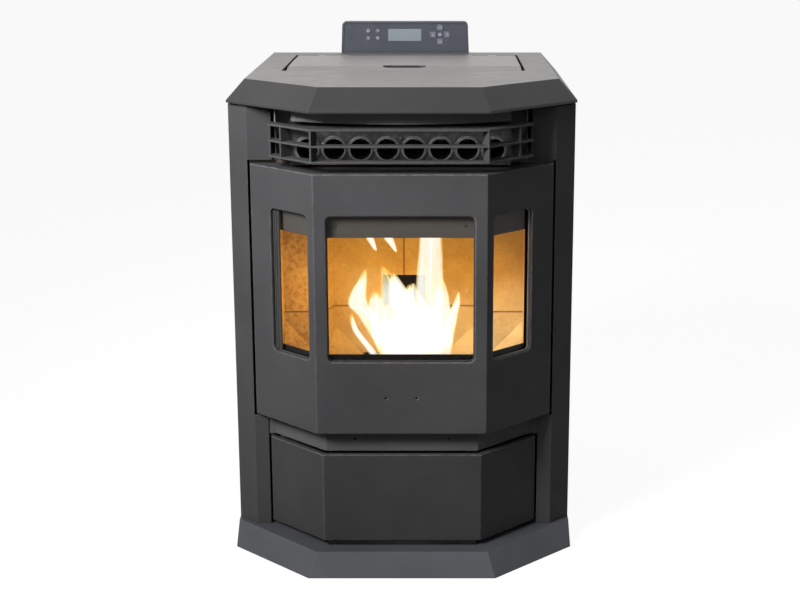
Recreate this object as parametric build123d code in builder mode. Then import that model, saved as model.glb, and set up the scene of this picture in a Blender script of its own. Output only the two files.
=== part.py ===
"""Free-standing pellet stove with a three-sided bay door, an ash drawer and a hopper lid.

Millimetres. +X to the right, +Y to the back, +Z up. The origin lies on the floor, under the
centre of the overall box. The front is a bay: a flat front facet and two wings at 45 degrees.
An "offset" is how far a bay line lies in front of the door's front face.
"""
import os
from math import cos, hypot, radians, sin, tan

from build123d import *

os.makedirs("parts", exist_ok=True)

# ---------------------------------------------------------------- driving dimensions
WIDTH = 580.0                 # across the lower tips of the top plate and the base
FRONT_REACH = 38.0            # base in front of the door's front face
CABINET_DEPTH = 640.0         # back of the base and of the top plate behind the door's face
REAR_REACH = CABINET_DEPTH + 50           # end of the flue outlet behind the door's front face
WING_SPAN = 111.0             # sideways reach of a wing, from the bend to the door's edge
WING_ANGLE = 45.0             # angle of the bay's wings
SHEET = 2.0                   # cabinet sheet metal
PLATE = 4.0                   # firebox plate
RUNNING = 0.05                # radial clearance of a pin or shaft that turns
HOLE_GAP = 0.2                # radial clearance of a hole round a fixed piece
FREE_GAP = 0.3                # gap between pieces of different bodies

FOOT_HEIGHT = 1.0             # gap under the base
BASE_TOP = 36.0
BODY_TOP = 765.0              # top of the side panels
TOP_LIP_BOTTOM = 768.0
TOP_LIP_TOP = 772.0
TOP_FACE = 806.0

DOOR_BOTTOM = 240.0
DOOR_TOP = 671.0
DOOR_HALF = WIDTH / 2 - 40    # outer edges of the door
BAY_HALF = DOOR_HALF - WING_SPAN          # half width of the door's front facet
DOOR_BACK = WING_SPAN * tan(radians(WING_ANGLE)) + 12     # back plane of the door behind its front face
DOOR_WALL = 6.0
FACE_DEPTH = DOOR_BACK + 4    # firebox face behind the door's front face
DOOR_GAP = 5.0                # slot between the door and the panels round it

WINDOW_BOTTOM = 362.0
WINDOW_TOP = 603.6
WINDOW_HALF = BAY_HALF - 19.5             # half width of the front window
WING_LENGTH = WING_SPAN / cos(radians(WING_ANGLE))
WING_WINDOW_START = 14.8      # wing window, measured along the wing from the bend
WING_WINDOW_END = WING_LENGTH - 49.5
WINDOW_RADIUS = 9.0

CONTROL_WIDTH = 242.0
CONTROL_HEIGHT = 61.0

POT_LENGTH = 80.0             # burn pot from front to back
POT_DEPTH = (FACE_DEPTH + 35, FACE_DEPTH + 35 + POT_LENGTH)
FIREBOX_BACK = POT_DEPTH[1] + 20
PLENUM_BACK = FIREBOX_BACK + 26
BODY_DEPTH = CABINET_DEPTH - 10           # outer face of the rear panel
AUGER_DEPTH = BODY_DEPTH - 170            # where pellets drop onto the auger

# ---------------------------------------------------------------- derived places
DOOR_Y = (FRONT_REACH - REAR_REACH) / 2       # y of the door's front face
BACK_Y = DOOR_Y + CABINET_DEPTH
FACE_Y = DOOR_Y + FACE_DEPTH
BEND_TAN = tan(radians(WING_ANGLE / 2))
WING_TAN = tan(radians(WING_ANGLE))
WING_COS = cos(radians(WING_ANGLE))
WING_SIN = sin(radians(WING_ANGLE))
SIDES = (-1, 1)


def bay_half(offset):
    """Half width of the front facet of the bay line at this offset."""
    return BAY_HALF + offset * BEND_TAN


def bay_line(offset, half_width):
    """Four points of the bay line, from the left wing's end to the right wing's end."""
    half = bay_half(offset)
    front = DOOR_Y - offset
    side = front + (half_width - half) * WING_TAN
    return [(-half_width, side), (-half, front), (half, front), (half_width, side)]


def bay_block(offset, half_width, back):
    """Closed outline behind a bay line, with straight sides to the plane y = back."""
    return bay_line(offset, half_width) + [(half_width, back), (-half_width, back)]


def bay_band(outer, inner, half_width):
    """Closed outline between two bay lines."""
    return bay_line(outer, half_width) + bay_line(inner, half_width)[::-1]


def folded(points, thickness):
    """Closed outline of a folded sheet whose outer face follows the points, metal on the left."""
    inner = []
    count = len(points)
    for index in range(count):
        normals = []
        for start in (index - 1, index):
            if 0 <= start < count - 1:
                run = (points[start + 1][0] - points[start][0], points[start + 1][1] - points[start][1])
                length = hypot(*run)
                normals.append((-run[1] / length, run[0] / length))
        across = (sum(n[0] for n in normals), sum(n[1] for n in normals))
        scale = thickness * len(normals) / (across[0] ** 2 + across[1] ** 2)
        inner.append((points[index][0] + across[0] * scale, points[index][1] + across[1] * scale))
    return list(points) + inner[::-1]


def prism(outline, bottom, top):
    """Upright prism over a closed outline."""
    with BuildPart() as body:
        with BuildSketch(Plane.XY.offset(bottom)):
            with BuildLine():
                Polyline(*outline, close=True)
            make_face()
        extrude(amount=top - bottom)
    return body.part


def block(x_range, y_range, z_range):
    """Box between three pairs of limits."""
    low = (min(x_range), min(y_range), min(z_range))
    size = (abs(x_range[1] - x_range[0]), abs(y_range[1] - y_range[0]), abs(z_range[1] - z_range[0]))
    with BuildPart(Plane(origin=low)) as body:
        Box(*size, align=(Align.MIN, Align.MIN, Align.MIN))
    return body.part


def rod(start, end, radius):
    """Round bar between two points."""
    axis = Vector(*end) - Vector(*start)
    with BuildPart(Plane(origin=start, z_dir=axis)) as body:
        Cylinder(radius, axis.length, align=(Align.CENTER, Align.CENTER, Align.MIN))
    return body.part


def pipe(start, end, outer, inner):
    """Round tube between two points."""
    axis = Vector(*end) - Vector(*start)
    with BuildPart() as body:
        with BuildSketch(Plane(origin=start, z_dir=axis)):
            Circle(outer)
            Circle(inner, mode=Mode.SUBTRACT)
        extrude(amount=axis.length)
    return body.part


def frustum(low_outline, low_z, high_outline, high_z):
    """Ruled solid between two outlines at two heights."""
    with BuildPart() as body:
        for outline, height in ((low_outline, low_z), (high_outline, high_z)):
            with BuildSketch(Plane.XY.offset(height)):
                with BuildLine():
                    Polyline(*outline, close=True)
                make_face()
        loft(ruled=True)
    return body.part


def rectangle(x_range, y_range):
    """Four corners of a rectangle."""
    return [(x_range[0], y_range[0]), (x_range[1], y_range[0]), (x_range[1], y_range[1]),
            (x_range[0], y_range[1])]


def back(depth):
    """y of a place this far behind the door's front face."""
    return DOOR_Y + depth


def wing_plane(side, depth):
    """Plane on a wing, its origin at the bend, x along the wing, y up, z out of the stove."""
    inward = (-side * WING_SIN * depth, WING_COS * depth)
    origin = (side * BAY_HALF + inward[0], DOOR_Y + inward[1], 0)
    x_dir = (WING_COS, side * WING_SIN, 0)
    return Plane(origin=origin, x_dir=x_dir, z_dir=(side * WING_SIN, -WING_COS, 0))


def front_plane(depth):
    """Plane parallel to the front facet, x to the right, y up, z out of the stove."""
    return Plane(origin=(0, DOOR_Y + depth, 0), x_dir=(1, 0, 0), z_dir=(0, -1, 0))


def write(builder, name):
    """Label a finished piece and write its STEP file."""
    builder.part.label = name
    export_step(builder.part, f"parts/{name}.step")


# ---------------------------------------------------------------- base and feet
BASE_FRONT_TOP = 9.5          # offset of the base's upper front edge
BASE_TOP_HALF = WIDTH / 2 - 1
BASE_WALL = 3.0
FOOT_X = WIDTH / 2 - 45
FOOT_DEPTHS = (160.0, CABINET_DEPTH - 40)
FOOT_PLACES = [(side * FOOT_X, back(depth)) for side in SIDES for depth in FOOT_DEPTHS]
FOOT_RADIUS = 16.0
STUD_RADIUS = 4.0
FOOT_PAD = 8.0
NUT_RADIUS = 7.5
NUT_HEIGHT = 6.0

with BuildPart() as base_plinth:
    add(frustum(bay_block(FRONT_REACH, WIDTH / 2, BACK_Y), FOOT_HEIGHT,
                bay_block(BASE_FRONT_TOP, BASE_TOP_HALF, BACK_Y), BASE_TOP))
    add(frustum(bay_block(FRONT_REACH - BASE_WALL, WIDTH / 2 - BASE_WALL, BACK_Y - BASE_WALL), FOOT_HEIGHT,
                bay_block(BASE_FRONT_TOP - BASE_WALL, BASE_TOP_HALF - BASE_WALL, BACK_Y - BASE_WALL),
                BASE_TOP - BASE_WALL), mode=Mode.SUBTRACT)
    with Locations(*[(x, y, BASE_TOP - BASE_WALL / 2) for x, y in FOOT_PLACES]):
        Cylinder(STUD_RADIUS + HOLE_GAP, 2 * BASE_WALL, mode=Mode.SUBTRACT)
write(base_plinth, "base_plinth")

with BuildPart() as levelling_feet:
    for x, y in FOOT_PLACES:
        add(rod((x, y, 0), (x, y, FOOT_PAD), FOOT_RADIUS))
        add(rod((x, y, FOOT_PAD), (x, y, BASE_TOP + NUT_HEIGHT + 2), STUD_RADIUS))
        for bottom in (BASE_TOP - BASE_WALL - NUT_HEIGHT, BASE_TOP):
            with BuildSketch(Plane((x, y, bottom))):
                RegularPolygon(NUT_RADIUS, 6)
            extrude(amount=NUT_HEIGHT)
write(levelling_feet, "levelling_feet")

# ---------------------------------------------------------------- side, rear and sill panels
BODY_HALF = WIDTH / 2 - 1.5
COLUMN_HALF = DOOR_HALF + DOOR_GAP        # outer corner of the columns' front flange
FLANGE_DEPTH = DOOR_BACK - 6              # front flange behind the door's front face
LOWER_FLANGE_HALF = COLUMN_HALF - 24      # inner edge of the flange beside the ash panel
UPPER_FLANGE_HALF = COLUMN_HALF - 40.5    # inner edge of the flange beside the grille
STRIP_DEPTH = FLANGE_DEPTH + (BODY_HALF - COLUMN_HALF) * WING_TAN
RETURN_DEPTH = FLANGE_DEPTH + 33          # end of the fold beside the door
LOWER_ZONE = (BASE_TOP, DOOR_BOTTOM - DOOR_GAP)
DOOR_ZONE = (LOWER_ZONE[1], DOOR_TOP + DOOR_GAP)
UPPER_ZONE = (DOOR_ZONE[1], BODY_TOP)


def column_outline(flange_end):
    """Folded line of the left panel, from its inner end to the back."""
    return [flange_end, (-COLUMN_HALF, back(FLANGE_DEPTH)), (-BODY_HALF, back(STRIP_DEPTH)),
            (-BODY_HALF, back(BODY_DEPTH))]


with BuildPart() as side_panel_left:
    for flange_end, zone in (((-LOWER_FLANGE_HALF, back(FLANGE_DEPTH)), LOWER_ZONE),
                             ((-COLUMN_HALF, back(RETURN_DEPTH)), DOOR_ZONE),
                             ((-UPPER_FLANGE_HALF, back(FLANGE_DEPTH)), UPPER_ZONE)):
        add(prism(folded(column_outline(flange_end)[::-1], SHEET), *zone))
write(side_panel_left, "side_panel_left")

with BuildPart() as side_panel_right:
    mirror(side_panel_left.part, about=Plane.YZ)
write(side_panel_right, "side_panel_right")

FLUE_RADIUS = 38.1            # 3 inch flue outlet
FLUE_X = 110.5 - BODY_HALF
FLUE_Z = 184.0
INTAKE_RADIUS = 25.4          # 2 inch air intake
INTAKE_X = 110.0
INTAKE_Z = 280.0
PIPE_WALL = 1.5
PANEL_HOLE_GAP = 2.0
COLLAR = 5.0                  # collar of a pipe against the rear panel
COLLAR_HEIGHT = 2.0
REAR_HALF = BODY_HALF - SHEET - 0.2
INLET_X = BODY_HALF - 73.5
INLET_Z = 92.0
INLET_WIDTH = 28.0
INLET_HEIGHT = 20.0
LOUVRE_WIDTH = 70.0
LOUVRE_HEIGHT = 6.0
LOUVRE_STEP = 16.0
LOUVRE_SPACE = 14.0           # between two columns of louvres
BLOWER_LOUVRES = (110.0, 130.0)           # middle x and middle z
BLOWER_LOUVRE_COUNT = (1, 8)              # columns and rows
HOPPER_LOUVRES = (0.0, 620.0)
HOPPER_LOUVRE_COUNT = (3, 7)
SCREW_RADIUS = 1.8
SCREW_HEAD = 4.0
SCREW_HEAD_HEIGHT = 2.2
SCREW_LENGTH = 10.0
SCREW_EDGE = 12.0
SCREW_HEIGHTS = (60.0, 245.0, 430.0, 615.0, 745.0)
REAR_SCREWS = [(side * (REAR_HALF - SCREW_EDGE), z) for side in SIDES for z in SCREW_HEIGHTS]

with BuildPart() as rear_panel:
    add(block((-REAR_HALF, REAR_HALF), (back(BODY_DEPTH) - SHEET, back(BODY_DEPTH)), (BASE_TOP, BODY_TOP)))
    with BuildSketch(front_plane(BODY_DEPTH - SHEET)):
        with Locations((FLUE_X, FLUE_Z)):
            Circle(FLUE_RADIUS + PANEL_HOLE_GAP)
        with Locations((INTAKE_X, INTAKE_Z)):
            Circle(INTAKE_RADIUS + PANEL_HOLE_GAP)
        with Locations((INLET_X, INLET_Z)):
            Rectangle(INLET_WIDTH + 2 * HOLE_GAP, INLET_HEIGHT + 2 * HOLE_GAP)
        for middle, counts in ((BLOWER_LOUVRES, BLOWER_LOUVRE_COUNT), (HOPPER_LOUVRES, HOPPER_LOUVRE_COUNT)):
            with Locations(middle):
                with GridLocations(LOUVRE_WIDTH + LOUVRE_SPACE, LOUVRE_STEP, *counts):
                    SlotOverall(LOUVRE_WIDTH, LOUVRE_HEIGHT)
        with Locations(*REAR_SCREWS):
            Circle(SCREW_RADIUS + HOLE_GAP)
    extrude(amount=-SHEET, mode=Mode.SUBTRACT)
write(rear_panel, "rear_panel")

with BuildPart() as panel_screws:
    head_face = back(BODY_DEPTH)
    for x, z in REAR_SCREWS:
        add(rod((x, head_face, z), (x, head_face + SCREW_HEAD_HEIGHT, z), SCREW_HEAD))
        add(rod((x, head_face - SCREW_LENGTH, z), (x, head_face, z), SCREW_RADIUS))
write(panel_screws, "panel_screws")

SILL_OFFSET = -29.0
SILL_BOTTOM = 200.5
SILL_SIDE = FLANGE_DEPTH + SHEET + HOLE_GAP      # the sill's ends lie behind the column flanges
SILL_HALF = bay_half(SILL_OFFSET) + (SILL_SIDE + SILL_OFFSET) / WING_TAN
SILL_END = LOWER_FLANGE_HALF + 10
SILL_HOLE_X = 78.0
SILL_HOLE_Z = 222.0
SMALL_HOLE = 2.0              # radius of the small holes in the front panels

with BuildPart() as front_sill:
    sill_line = bay_line(SILL_OFFSET, SILL_HALF)
    ends = [(side * SILL_END, back(SILL_SIDE)) for side in SIDES]
    add(prism(folded([ends[0]] + sill_line + [ends[1]], SHEET), SILL_BOTTOM, LOWER_ZONE[1]))
    with BuildSketch(front_plane(-SILL_OFFSET)):
        with Locations((-SILL_HOLE_X, SILL_HOLE_Z), (SILL_HOLE_X, SILL_HOLE_Z)):
            Circle(SMALL_HOLE)
    extrude(amount=-SHEET, mode=Mode.SUBTRACT)
write(front_sill, "front_sill")

# ---------------------------------------------------------------- top plate and hopper lid
TOP_EDGE_OFFSET = 8.0         # lower edge of the top plate
TOP_FACE_OFFSET = -22.5       # front edge of its flat face
TOP_BEVEL = 30.0              # sideways reach of the bevel round the flat face
TOP_FACE_HALF = WIDTH / 2 - TOP_BEVEL
TOP_WALL = 3.0
LID_HALF = WIDTH / 2 - 83
LID_FRONT = PLENUM_BACK - 1
LID_BACK = CABINET_DEPTH - 63
LID_BEND = LID_FRONT + 78     # where the lid's front strip starts to slope down
LID_DROP = 7.0
LID_GAP = 4.5
LID_SHEET = 3.0
LID_HINGE_GAP = 9.0           # slot behind the lid for the hinge knuckles
KNUCKLE_RADIUS = 3.0
LID_PIN_RADIUS = 1.5
FINGER_SLOT = 78.0
FINGER_SLOT_DEPTH = 30.0
SKIRT_DEPTH = 12.0
OPENING_HALF = LID_HALF + LID_GAP
OPENING_FRONT = LID_FRONT - LID_GAP
OPENING_BACK = LID_BACK + LID_HINGE_GAP
CORNER_RADIUS = 8.0

with BuildPart() as top_plate:
    lower = bay_block(TOP_EDGE_OFFSET, WIDTH / 2, BACK_Y)
    add(prism(lower, TOP_LIP_BOTTOM, TOP_LIP_TOP))
    add(frustum(lower, TOP_LIP_TOP, bay_block(TOP_FACE_OFFSET, TOP_FACE_HALF, BACK_Y), TOP_FACE))
    inside = bay_block(TOP_EDGE_OFFSET - TOP_WALL, WIDTH / 2 - TOP_WALL, BACK_Y - TOP_WALL)
    add(prism(inside, TOP_LIP_BOTTOM, TOP_LIP_TOP), mode=Mode.SUBTRACT)
    add(frustum(inside, TOP_LIP_TOP,
                bay_block(TOP_FACE_OFFSET - TOP_WALL, TOP_FACE_HALF - TOP_WALL, BACK_Y - TOP_WALL),
                TOP_FACE - TOP_WALL), mode=Mode.SUBTRACT)
    skirt = (back(OPENING_FRONT) - SHEET, back(OPENING_BACK) + SHEET)
    add(block((-OPENING_HALF - SHEET, OPENING_HALF + SHEET), skirt,
              (TOP_FACE - SKIRT_DEPTH - TOP_WALL, TOP_FACE)))
    add(block((-OPENING_HALF, OPENING_HALF), (back(OPENING_FRONT), back(OPENING_BACK)),
              (TOP_FACE - 2 * SKIRT_DEPTH, TOP_FACE + 1)), mode=Mode.SUBTRACT)
write(top_plate, "top_plate")

HINGE_Y = back(LID_BACK) + LID_HINGE_GAP / 2
HINGE_Z = TOP_FACE - KNUCKLE_RADIUS
LID_HINGE_X = LID_HALF - 67
LID_KNUCKLE = 30.0            # length of the lid's knuckle in each hinge
END_KNUCKLE = 14.0            # length of each fixed knuckle
KNUCKLE_GAP = 0.4

with BuildPart() as hopper_lid:
    upper = [(back(LID_FRONT), TOP_FACE - LID_DROP), (back(LID_BEND), TOP_FACE), (back(LID_BACK), TOP_FACE)]
    with BuildSketch(Plane.YZ.offset(-LID_HALF)):
        with BuildLine():
            Polyline(*upper, *[(y, z - LID_SHEET) for y, z in upper[::-1]], close=True)
        make_face()
    extrude(amount=2 * LID_HALF)
    with BuildSketch(Plane.XY.offset(TOP_FACE + 1)):
        with Locations((0, back(LID_BEND))):
            SlotOverall(FINGER_SLOT, FINGER_SLOT_DEPTH)
    extrude(amount=-4 * LID_SHEET, mode=Mode.SUBTRACT)
    for side in SIDES:
        middle = side * LID_HINGE_X
        ends = (middle - LID_KNUCKLE / 2, middle + LID_KNUCKLE / 2)
        add(rod((ends[0], HINGE_Y, HINGE_Z), (ends[1], HINGE_Y, HINGE_Z), KNUCKLE_RADIUS))
        add(block(ends, (back(LID_BACK) - 1, HINGE_Y),
                  (TOP_FACE - LID_SHEET, TOP_FACE - KNUCKLE_RADIUS / 2)))
        add(rod((ends[0] - 1, HINGE_Y, HINGE_Z), (ends[1] + 1, HINGE_Y, HINGE_Z), LID_PIN_RADIUS + RUNNING),
            mode=Mode.SUBTRACT)
write(hopper_lid, "hopper_lid")

with BuildPart() as lid_hinge_leaves:
    for side in SIDES:
        middle = side * LID_HINGE_X
        reach = LID_KNUCKLE / 2 + KNUCKLE_GAP
        for end in SIDES:
            inner = middle + end * reach
            outer = inner + end * END_KNUCKLE
            add(rod((inner, HINGE_Y, HINGE_Z), (outer, HINGE_Y, HINGE_Z), KNUCKLE_RADIUS))
            add(block((inner, outer), (HINGE_Y, back(OPENING_BACK)), (HINGE_Z - KNUCKLE_RADIUS, HINGE_Z)))
        add(rod((middle - reach - END_KNUCKLE, HINGE_Y, HINGE_Z),
                (middle + reach + END_KNUCKLE, HINGE_Y, HINGE_Z),
                LID_PIN_RADIUS))
write(lid_hinge_leaves, "lid_hinge_leaves")

# ---------------------------------------------------------------- hopper
HOPPER_HALF = LID_HALF - 17
HOPPER_FRONT = LID_FRONT + 13
HOPPER_BACK = LID_BACK - 15
MOUTH_SETBACK = 30.0          # front of the filling mouth behind the lid's bend
MOUTH_FRONT = LID_BEND + MOUTH_SETBACK
HOPPER_WALL = 2.0
FLANGE_TOP = 788.0            # the hopper's flange under the top plate
COAMING_TOP = 797.0
SHOULDER = 600.0              # where the funnel starts
THROAT_HALF = 28.0
THROAT_DEPTHS = (AUGER_DEPTH - 40, AUGER_DEPTH + 40)
FLANGE_GAP = 0.3
LID_SEAL = 9.0

AUGER_ANGLE = 40.0
AUGER_MOUTH_Z = 480.0         # middle of the auger tube's open upper end
TUBE_OUTER = 35.0
TUBE_INNER = 32.5
AUGER_RUN = (cos(radians(AUGER_ANGLE)), sin(radians(AUGER_ANGLE)))
TUBE_ENDS = (-78.0, (AUGER_DEPTH - FIREBOX_BACK - 73) / AUGER_RUN[0])
AUGER_POINT = (0, back(AUGER_DEPTH), AUGER_MOUTH_Z - TUBE_ENDS[1] * AUGER_RUN[1])
THROAT_TOP = AUGER_POINT[2] + 65


def auger_place(distance):
    """Point on the auger's axis, this far up and to the front from the inlet."""
    return (0, AUGER_POINT[1] - distance * AUGER_RUN[0], AUGER_POINT[2] + distance * AUGER_RUN[1])


def hopper_body(inset, bottom):
    """Hopper volume, drawn in by a wall from its outer faces."""
    upper = rectangle((-HOPPER_HALF - HOPPER_WALL + inset, HOPPER_HALF + HOPPER_WALL - inset),
                      (back(HOPPER_FRONT) - HOPPER_WALL + inset, back(HOPPER_BACK) + HOPPER_WALL - inset))
    throat = rectangle((-THROAT_HALF - HOPPER_WALL + inset, THROAT_HALF + HOPPER_WALL - inset),
                       (back(THROAT_DEPTHS[0]) - HOPPER_WALL + inset,
                        back(THROAT_DEPTHS[1]) + HOPPER_WALL - inset))
    with BuildPart() as body:
        add(prism(upper, SHOULDER, FLANGE_TOP - inset))
        add(frustum(throat, THROAT_TOP, upper, SHOULDER))
        add(prism(throat, bottom, THROAT_TOP))
    return body.part


with BuildPart() as hopper:
    add(hopper_body(0, AUGER_POINT[2]))
    flange = ((-OPENING_HALF + FLANGE_GAP, OPENING_HALF - FLANGE_GAP),
              (back(OPENING_FRONT) + FLANGE_GAP, back(OPENING_BACK) - FLANGE_GAP))
    add(block(*flange, (FLANGE_TOP - HOPPER_WALL, FLANGE_TOP)))
    mouth_sides = (-HOPPER_HALF, HOPPER_HALF)
    mouth_depth = (back(MOUTH_FRONT), back(HOPPER_BACK))
    add(block((-HOPPER_HALF - HOPPER_WALL, HOPPER_HALF + HOPPER_WALL),
              (mouth_depth[0] - HOPPER_WALL, mouth_depth[1] + HOPPER_WALL), (FLANGE_TOP, COAMING_TOP)))
    add(block(mouth_sides, mouth_depth, (FLANGE_TOP - 2 * HOPPER_WALL, COAMING_TOP + 1)),
        mode=Mode.SUBTRACT)
    add(hopper_body(HOPPER_WALL, AUGER_POINT[2] - 1), mode=Mode.SUBTRACT)
    add(rod(auger_place(TUBE_ENDS[0]), auger_place(TUBE_ENDS[1]), TUBE_OUTER + HOLE_GAP),
        mode=Mode.SUBTRACT)
    with BuildSketch(Plane(origin=AUGER_POINT, x_dir=(1, 0, 0), z_dir=(0, -AUGER_RUN[1], -AUGER_RUN[0]))):
        Rectangle(4 * TUBE_OUTER, 6 * TUBE_OUTER)
    extrude(amount=2 * TUBE_OUTER, mode=Mode.SUBTRACT)
write(hopper, "hopper")

with BuildPart() as lid_gasket:
    seal_z = (COAMING_TOP + FREE_GAP, TOP_FACE - LID_SHEET)
    outer_x = HOPPER_HALF + LID_SEAL / 2
    add(block((-outer_x, outer_x), (mouth_depth[0] - LID_SEAL / 2, mouth_depth[1] + LID_SEAL / 2), seal_z))
    inner_x = HOPPER_HALF - LID_SEAL / 2
    add(block((-inner_x, inner_x), (mouth_depth[0] + LID_SEAL / 2, mouth_depth[1] - LID_SEAL / 2),
              (seal_z[0] - 1, seal_z[1] + 1)), mode=Mode.SUBTRACT)
write(lid_gasket, "lid_gasket")

# ---------------------------------------------------------------- firebox
MOUTH_EDGE = 32.0             # side of the firebox mouth inside the door's edge
MOUTH_HALF = DOOR_HALF - MOUTH_EDGE
MOUTH_BOTTOM = 268.0
MOUTH_TOP = 645.0
CHAMBER_HALF = MOUTH_HALF + 8
CHAMBER_FLOOR = 246.0
SHELF = DOOR_ZONE[1]          # bottom of the upper chamber, above the door
UPPER_HALF = UPPER_FLANGE_HALF - 36.5     # inside the grille, which narrows behind its wings
UPPER_FRONT = 65.0            # tube sheet behind the door's front face
UPPER_HEIGHT = 62.0
UPPER_TOP = SHELF + UPPER_HEIGHT
FACE_HALF = COLUMN_HALF - SHEET - 0.5
DRAWER_HALF = 125.0
LEG_INNER = DRAWER_HALF + 3
TUBE_RADIUS = 19.0
TUBE_BORE = 17.0
TUBE_Z = UPPER_TOP - 36
TUBE_SPACE = 42.0             # least distance between two tubes
TUBE_COUNT = int((2 * UPPER_HALF - 12) / TUBE_SPACE)
TUBE_STEP = (2 * UPPER_HALF - 12) / TUBE_COUNT
SCRAPER_Z = TUBE_Z + 18.5
SCRAPER_ROD = 2.5
CHUTE_HALF = 38.0
CHUTE_BOTTOM = 396.0
CHUTE_TOP = 452.0
IGNITER_RADIUS = 5.0
IGNITER_Z = 285.0
IGNITER_GAP = 1.5             # between the igniter's tip and the burn pot
IGNITER_TAIL = 40.0
IGNITER_COLLAR = 3.0
EXHAUST_X = (FLUE_X - 37, FLUE_X + 38)
EXHAUST_DEPTH = (FACE_DEPTH + 23, FIREBOX_BACK - 22)
DROP_HALF = 62.0
DROP_DEPTH = (FACE_DEPTH + 13, FACE_DEPTH + 25)

LATCH_X = DOOR_HALF - 14
LATCH_DEPTH = DOOR_BACK - 6
LATCH_Z = (300.0, 460.0)
FINGER_LENGTH = 9.2
FINGER_HALF = 2.0
FINGER_HEIGHT = 7.0
KEEPER_X = (LATCH_X + 6.8, LATCH_X + 9.3)
KEEPER_FRONT = LATCH_DEPTH - 5
KEEPER_HALF = 8.0

TUBE_XS = [(index - (TUBE_COUNT - 1) / 2) * TUBE_STEP for index in range(TUBE_COUNT)]
SCRAPER_X = TUBE_XS[TUBE_COUNT // 2] - TUBE_STEP / 2      # between two tubes near the middle

with BuildPart() as firebox_shell:
    add(block((-FACE_HALF, FACE_HALF), (FACE_Y, FACE_Y + PLATE), (DOOR_ZONE[0], SHELF + PLATE)))
    add(block((-CHAMBER_HALF, CHAMBER_HALF), (FACE_Y, back(FIREBOX_BACK)), (CHAMBER_FLOOR, SHELF + PLATE)))
    add(block((-UPPER_HALF, UPPER_HALF), (back(UPPER_FRONT), back(FIREBOX_BACK)), (SHELF, UPPER_TOP)))
    for side in SIDES:
        add(block((side * LEG_INNER, side * (LEG_INNER + PLATE)), (FACE_Y, back(FIREBOX_BACK)),
                  (BASE_TOP, CHAMBER_FLOOR)))
    add(block((-CHAMBER_HALF + PLATE, CHAMBER_HALF - PLATE), (FACE_Y + PLATE, back(FIREBOX_BACK) - PLATE),
              (CHAMBER_FLOOR + PLATE, SHELF + PLATE)), mode=Mode.SUBTRACT)
    add(block((-UPPER_HALF + PLATE, UPPER_HALF - PLATE),
              (back(UPPER_FRONT) + PLATE, back(FIREBOX_BACK) - PLATE),
              (SHELF + PLATE, UPPER_TOP - PLATE)), mode=Mode.SUBTRACT)
    add(block((-MOUTH_HALF, MOUTH_HALF), (FACE_Y - 1, FACE_Y + PLATE + 1), (MOUTH_BOTTOM, MOUTH_TOP)),
        mode=Mode.SUBTRACT)
    with BuildSketch(front_plane(0)):
        with Locations(*[(x, TUBE_Z) for x in TUBE_XS]):
            Circle(TUBE_RADIUS + HOLE_GAP)
        with Locations((SCRAPER_X, SCRAPER_Z)):
            Circle(SCRAPER_ROD + FREE_GAP)
    extrude(amount=-FIREBOX_BACK - 1, mode=Mode.SUBTRACT)
    with BuildSketch(front_plane(FIREBOX_BACK - 2 * PLATE)):
        with Locations((0, (CHUTE_BOTTOM + CHUTE_TOP) / 2)):
            Rectangle(2 * CHUTE_HALF, CHUTE_TOP - CHUTE_BOTTOM)
        with Locations((0, IGNITER_Z)):
            Circle(IGNITER_RADIUS + HOLE_GAP)
        with Locations((INTAKE_X, INTAKE_Z)):
            Circle(INTAKE_RADIUS + HOLE_GAP)
    extrude(amount=-3 * PLATE, mode=Mode.SUBTRACT)
    add(block((EXHAUST_X[0] + PLATE, EXHAUST_X[1] - PLATE),
              (back(EXHAUST_DEPTH[0]), back(EXHAUST_DEPTH[1])),
              (CHAMBER_FLOOR - 1, CHAMBER_FLOOR + PLATE + 1)), mode=Mode.SUBTRACT)
    add(block((-DROP_HALF, DROP_HALF), (back(DROP_DEPTH[0]), back(DROP_DEPTH[1])),
              (CHAMBER_FLOOR - 1, CHAMBER_FLOOR + PLATE + 1)), mode=Mode.SUBTRACT)
    for z in LATCH_Z:
        add(block(KEEPER_X, (back(KEEPER_FRONT), FACE_Y), (z - KEEPER_HALF, z + KEEPER_HALF)))
        finger_gap = FINGER_HEIGHT / 2 + FREE_GAP
        add(block(KEEPER_X, (back(LATCH_DEPTH) - FINGER_HALF - FREE_GAP, FACE_Y),
                  (z - finger_gap, z + finger_gap)),
            mode=Mode.SUBTRACT)
write(firebox_shell, "firebox_shell")

TUBE_FRONT = UPPER_FRONT - 5
TUBE_RIM = 1.6

with BuildPart() as exchanger_tubes:
    for x in TUBE_XS:
        add(pipe((x, back(TUBE_FRONT), TUBE_Z), (x, back(FIREBOX_BACK) + 4, TUBE_Z), TUBE_RADIUS,
                 TUBE_BORE))
        add(pipe((x, back(UPPER_FRONT) - 2, TUBE_Z), (x, back(UPPER_FRONT), TUBE_Z), TUBE_RADIUS + TUBE_RIM,
                 TUBE_BORE))
write(exchanger_tubes, "exchanger_tubes")

SCRAPER_DEPTH = FIREBOX_BACK - 22
SCRAPER_BOTTOM = SHELF + PLATE + 3
SCRAPER_TOP = UPPER_TOP - PLATE - 3
SCRAPER_GAP = 0.6
SCRAPER_SIDE = 1.5            # gap to the walls of the upper chamber
SCRAPER_REACH = 61.0

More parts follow.
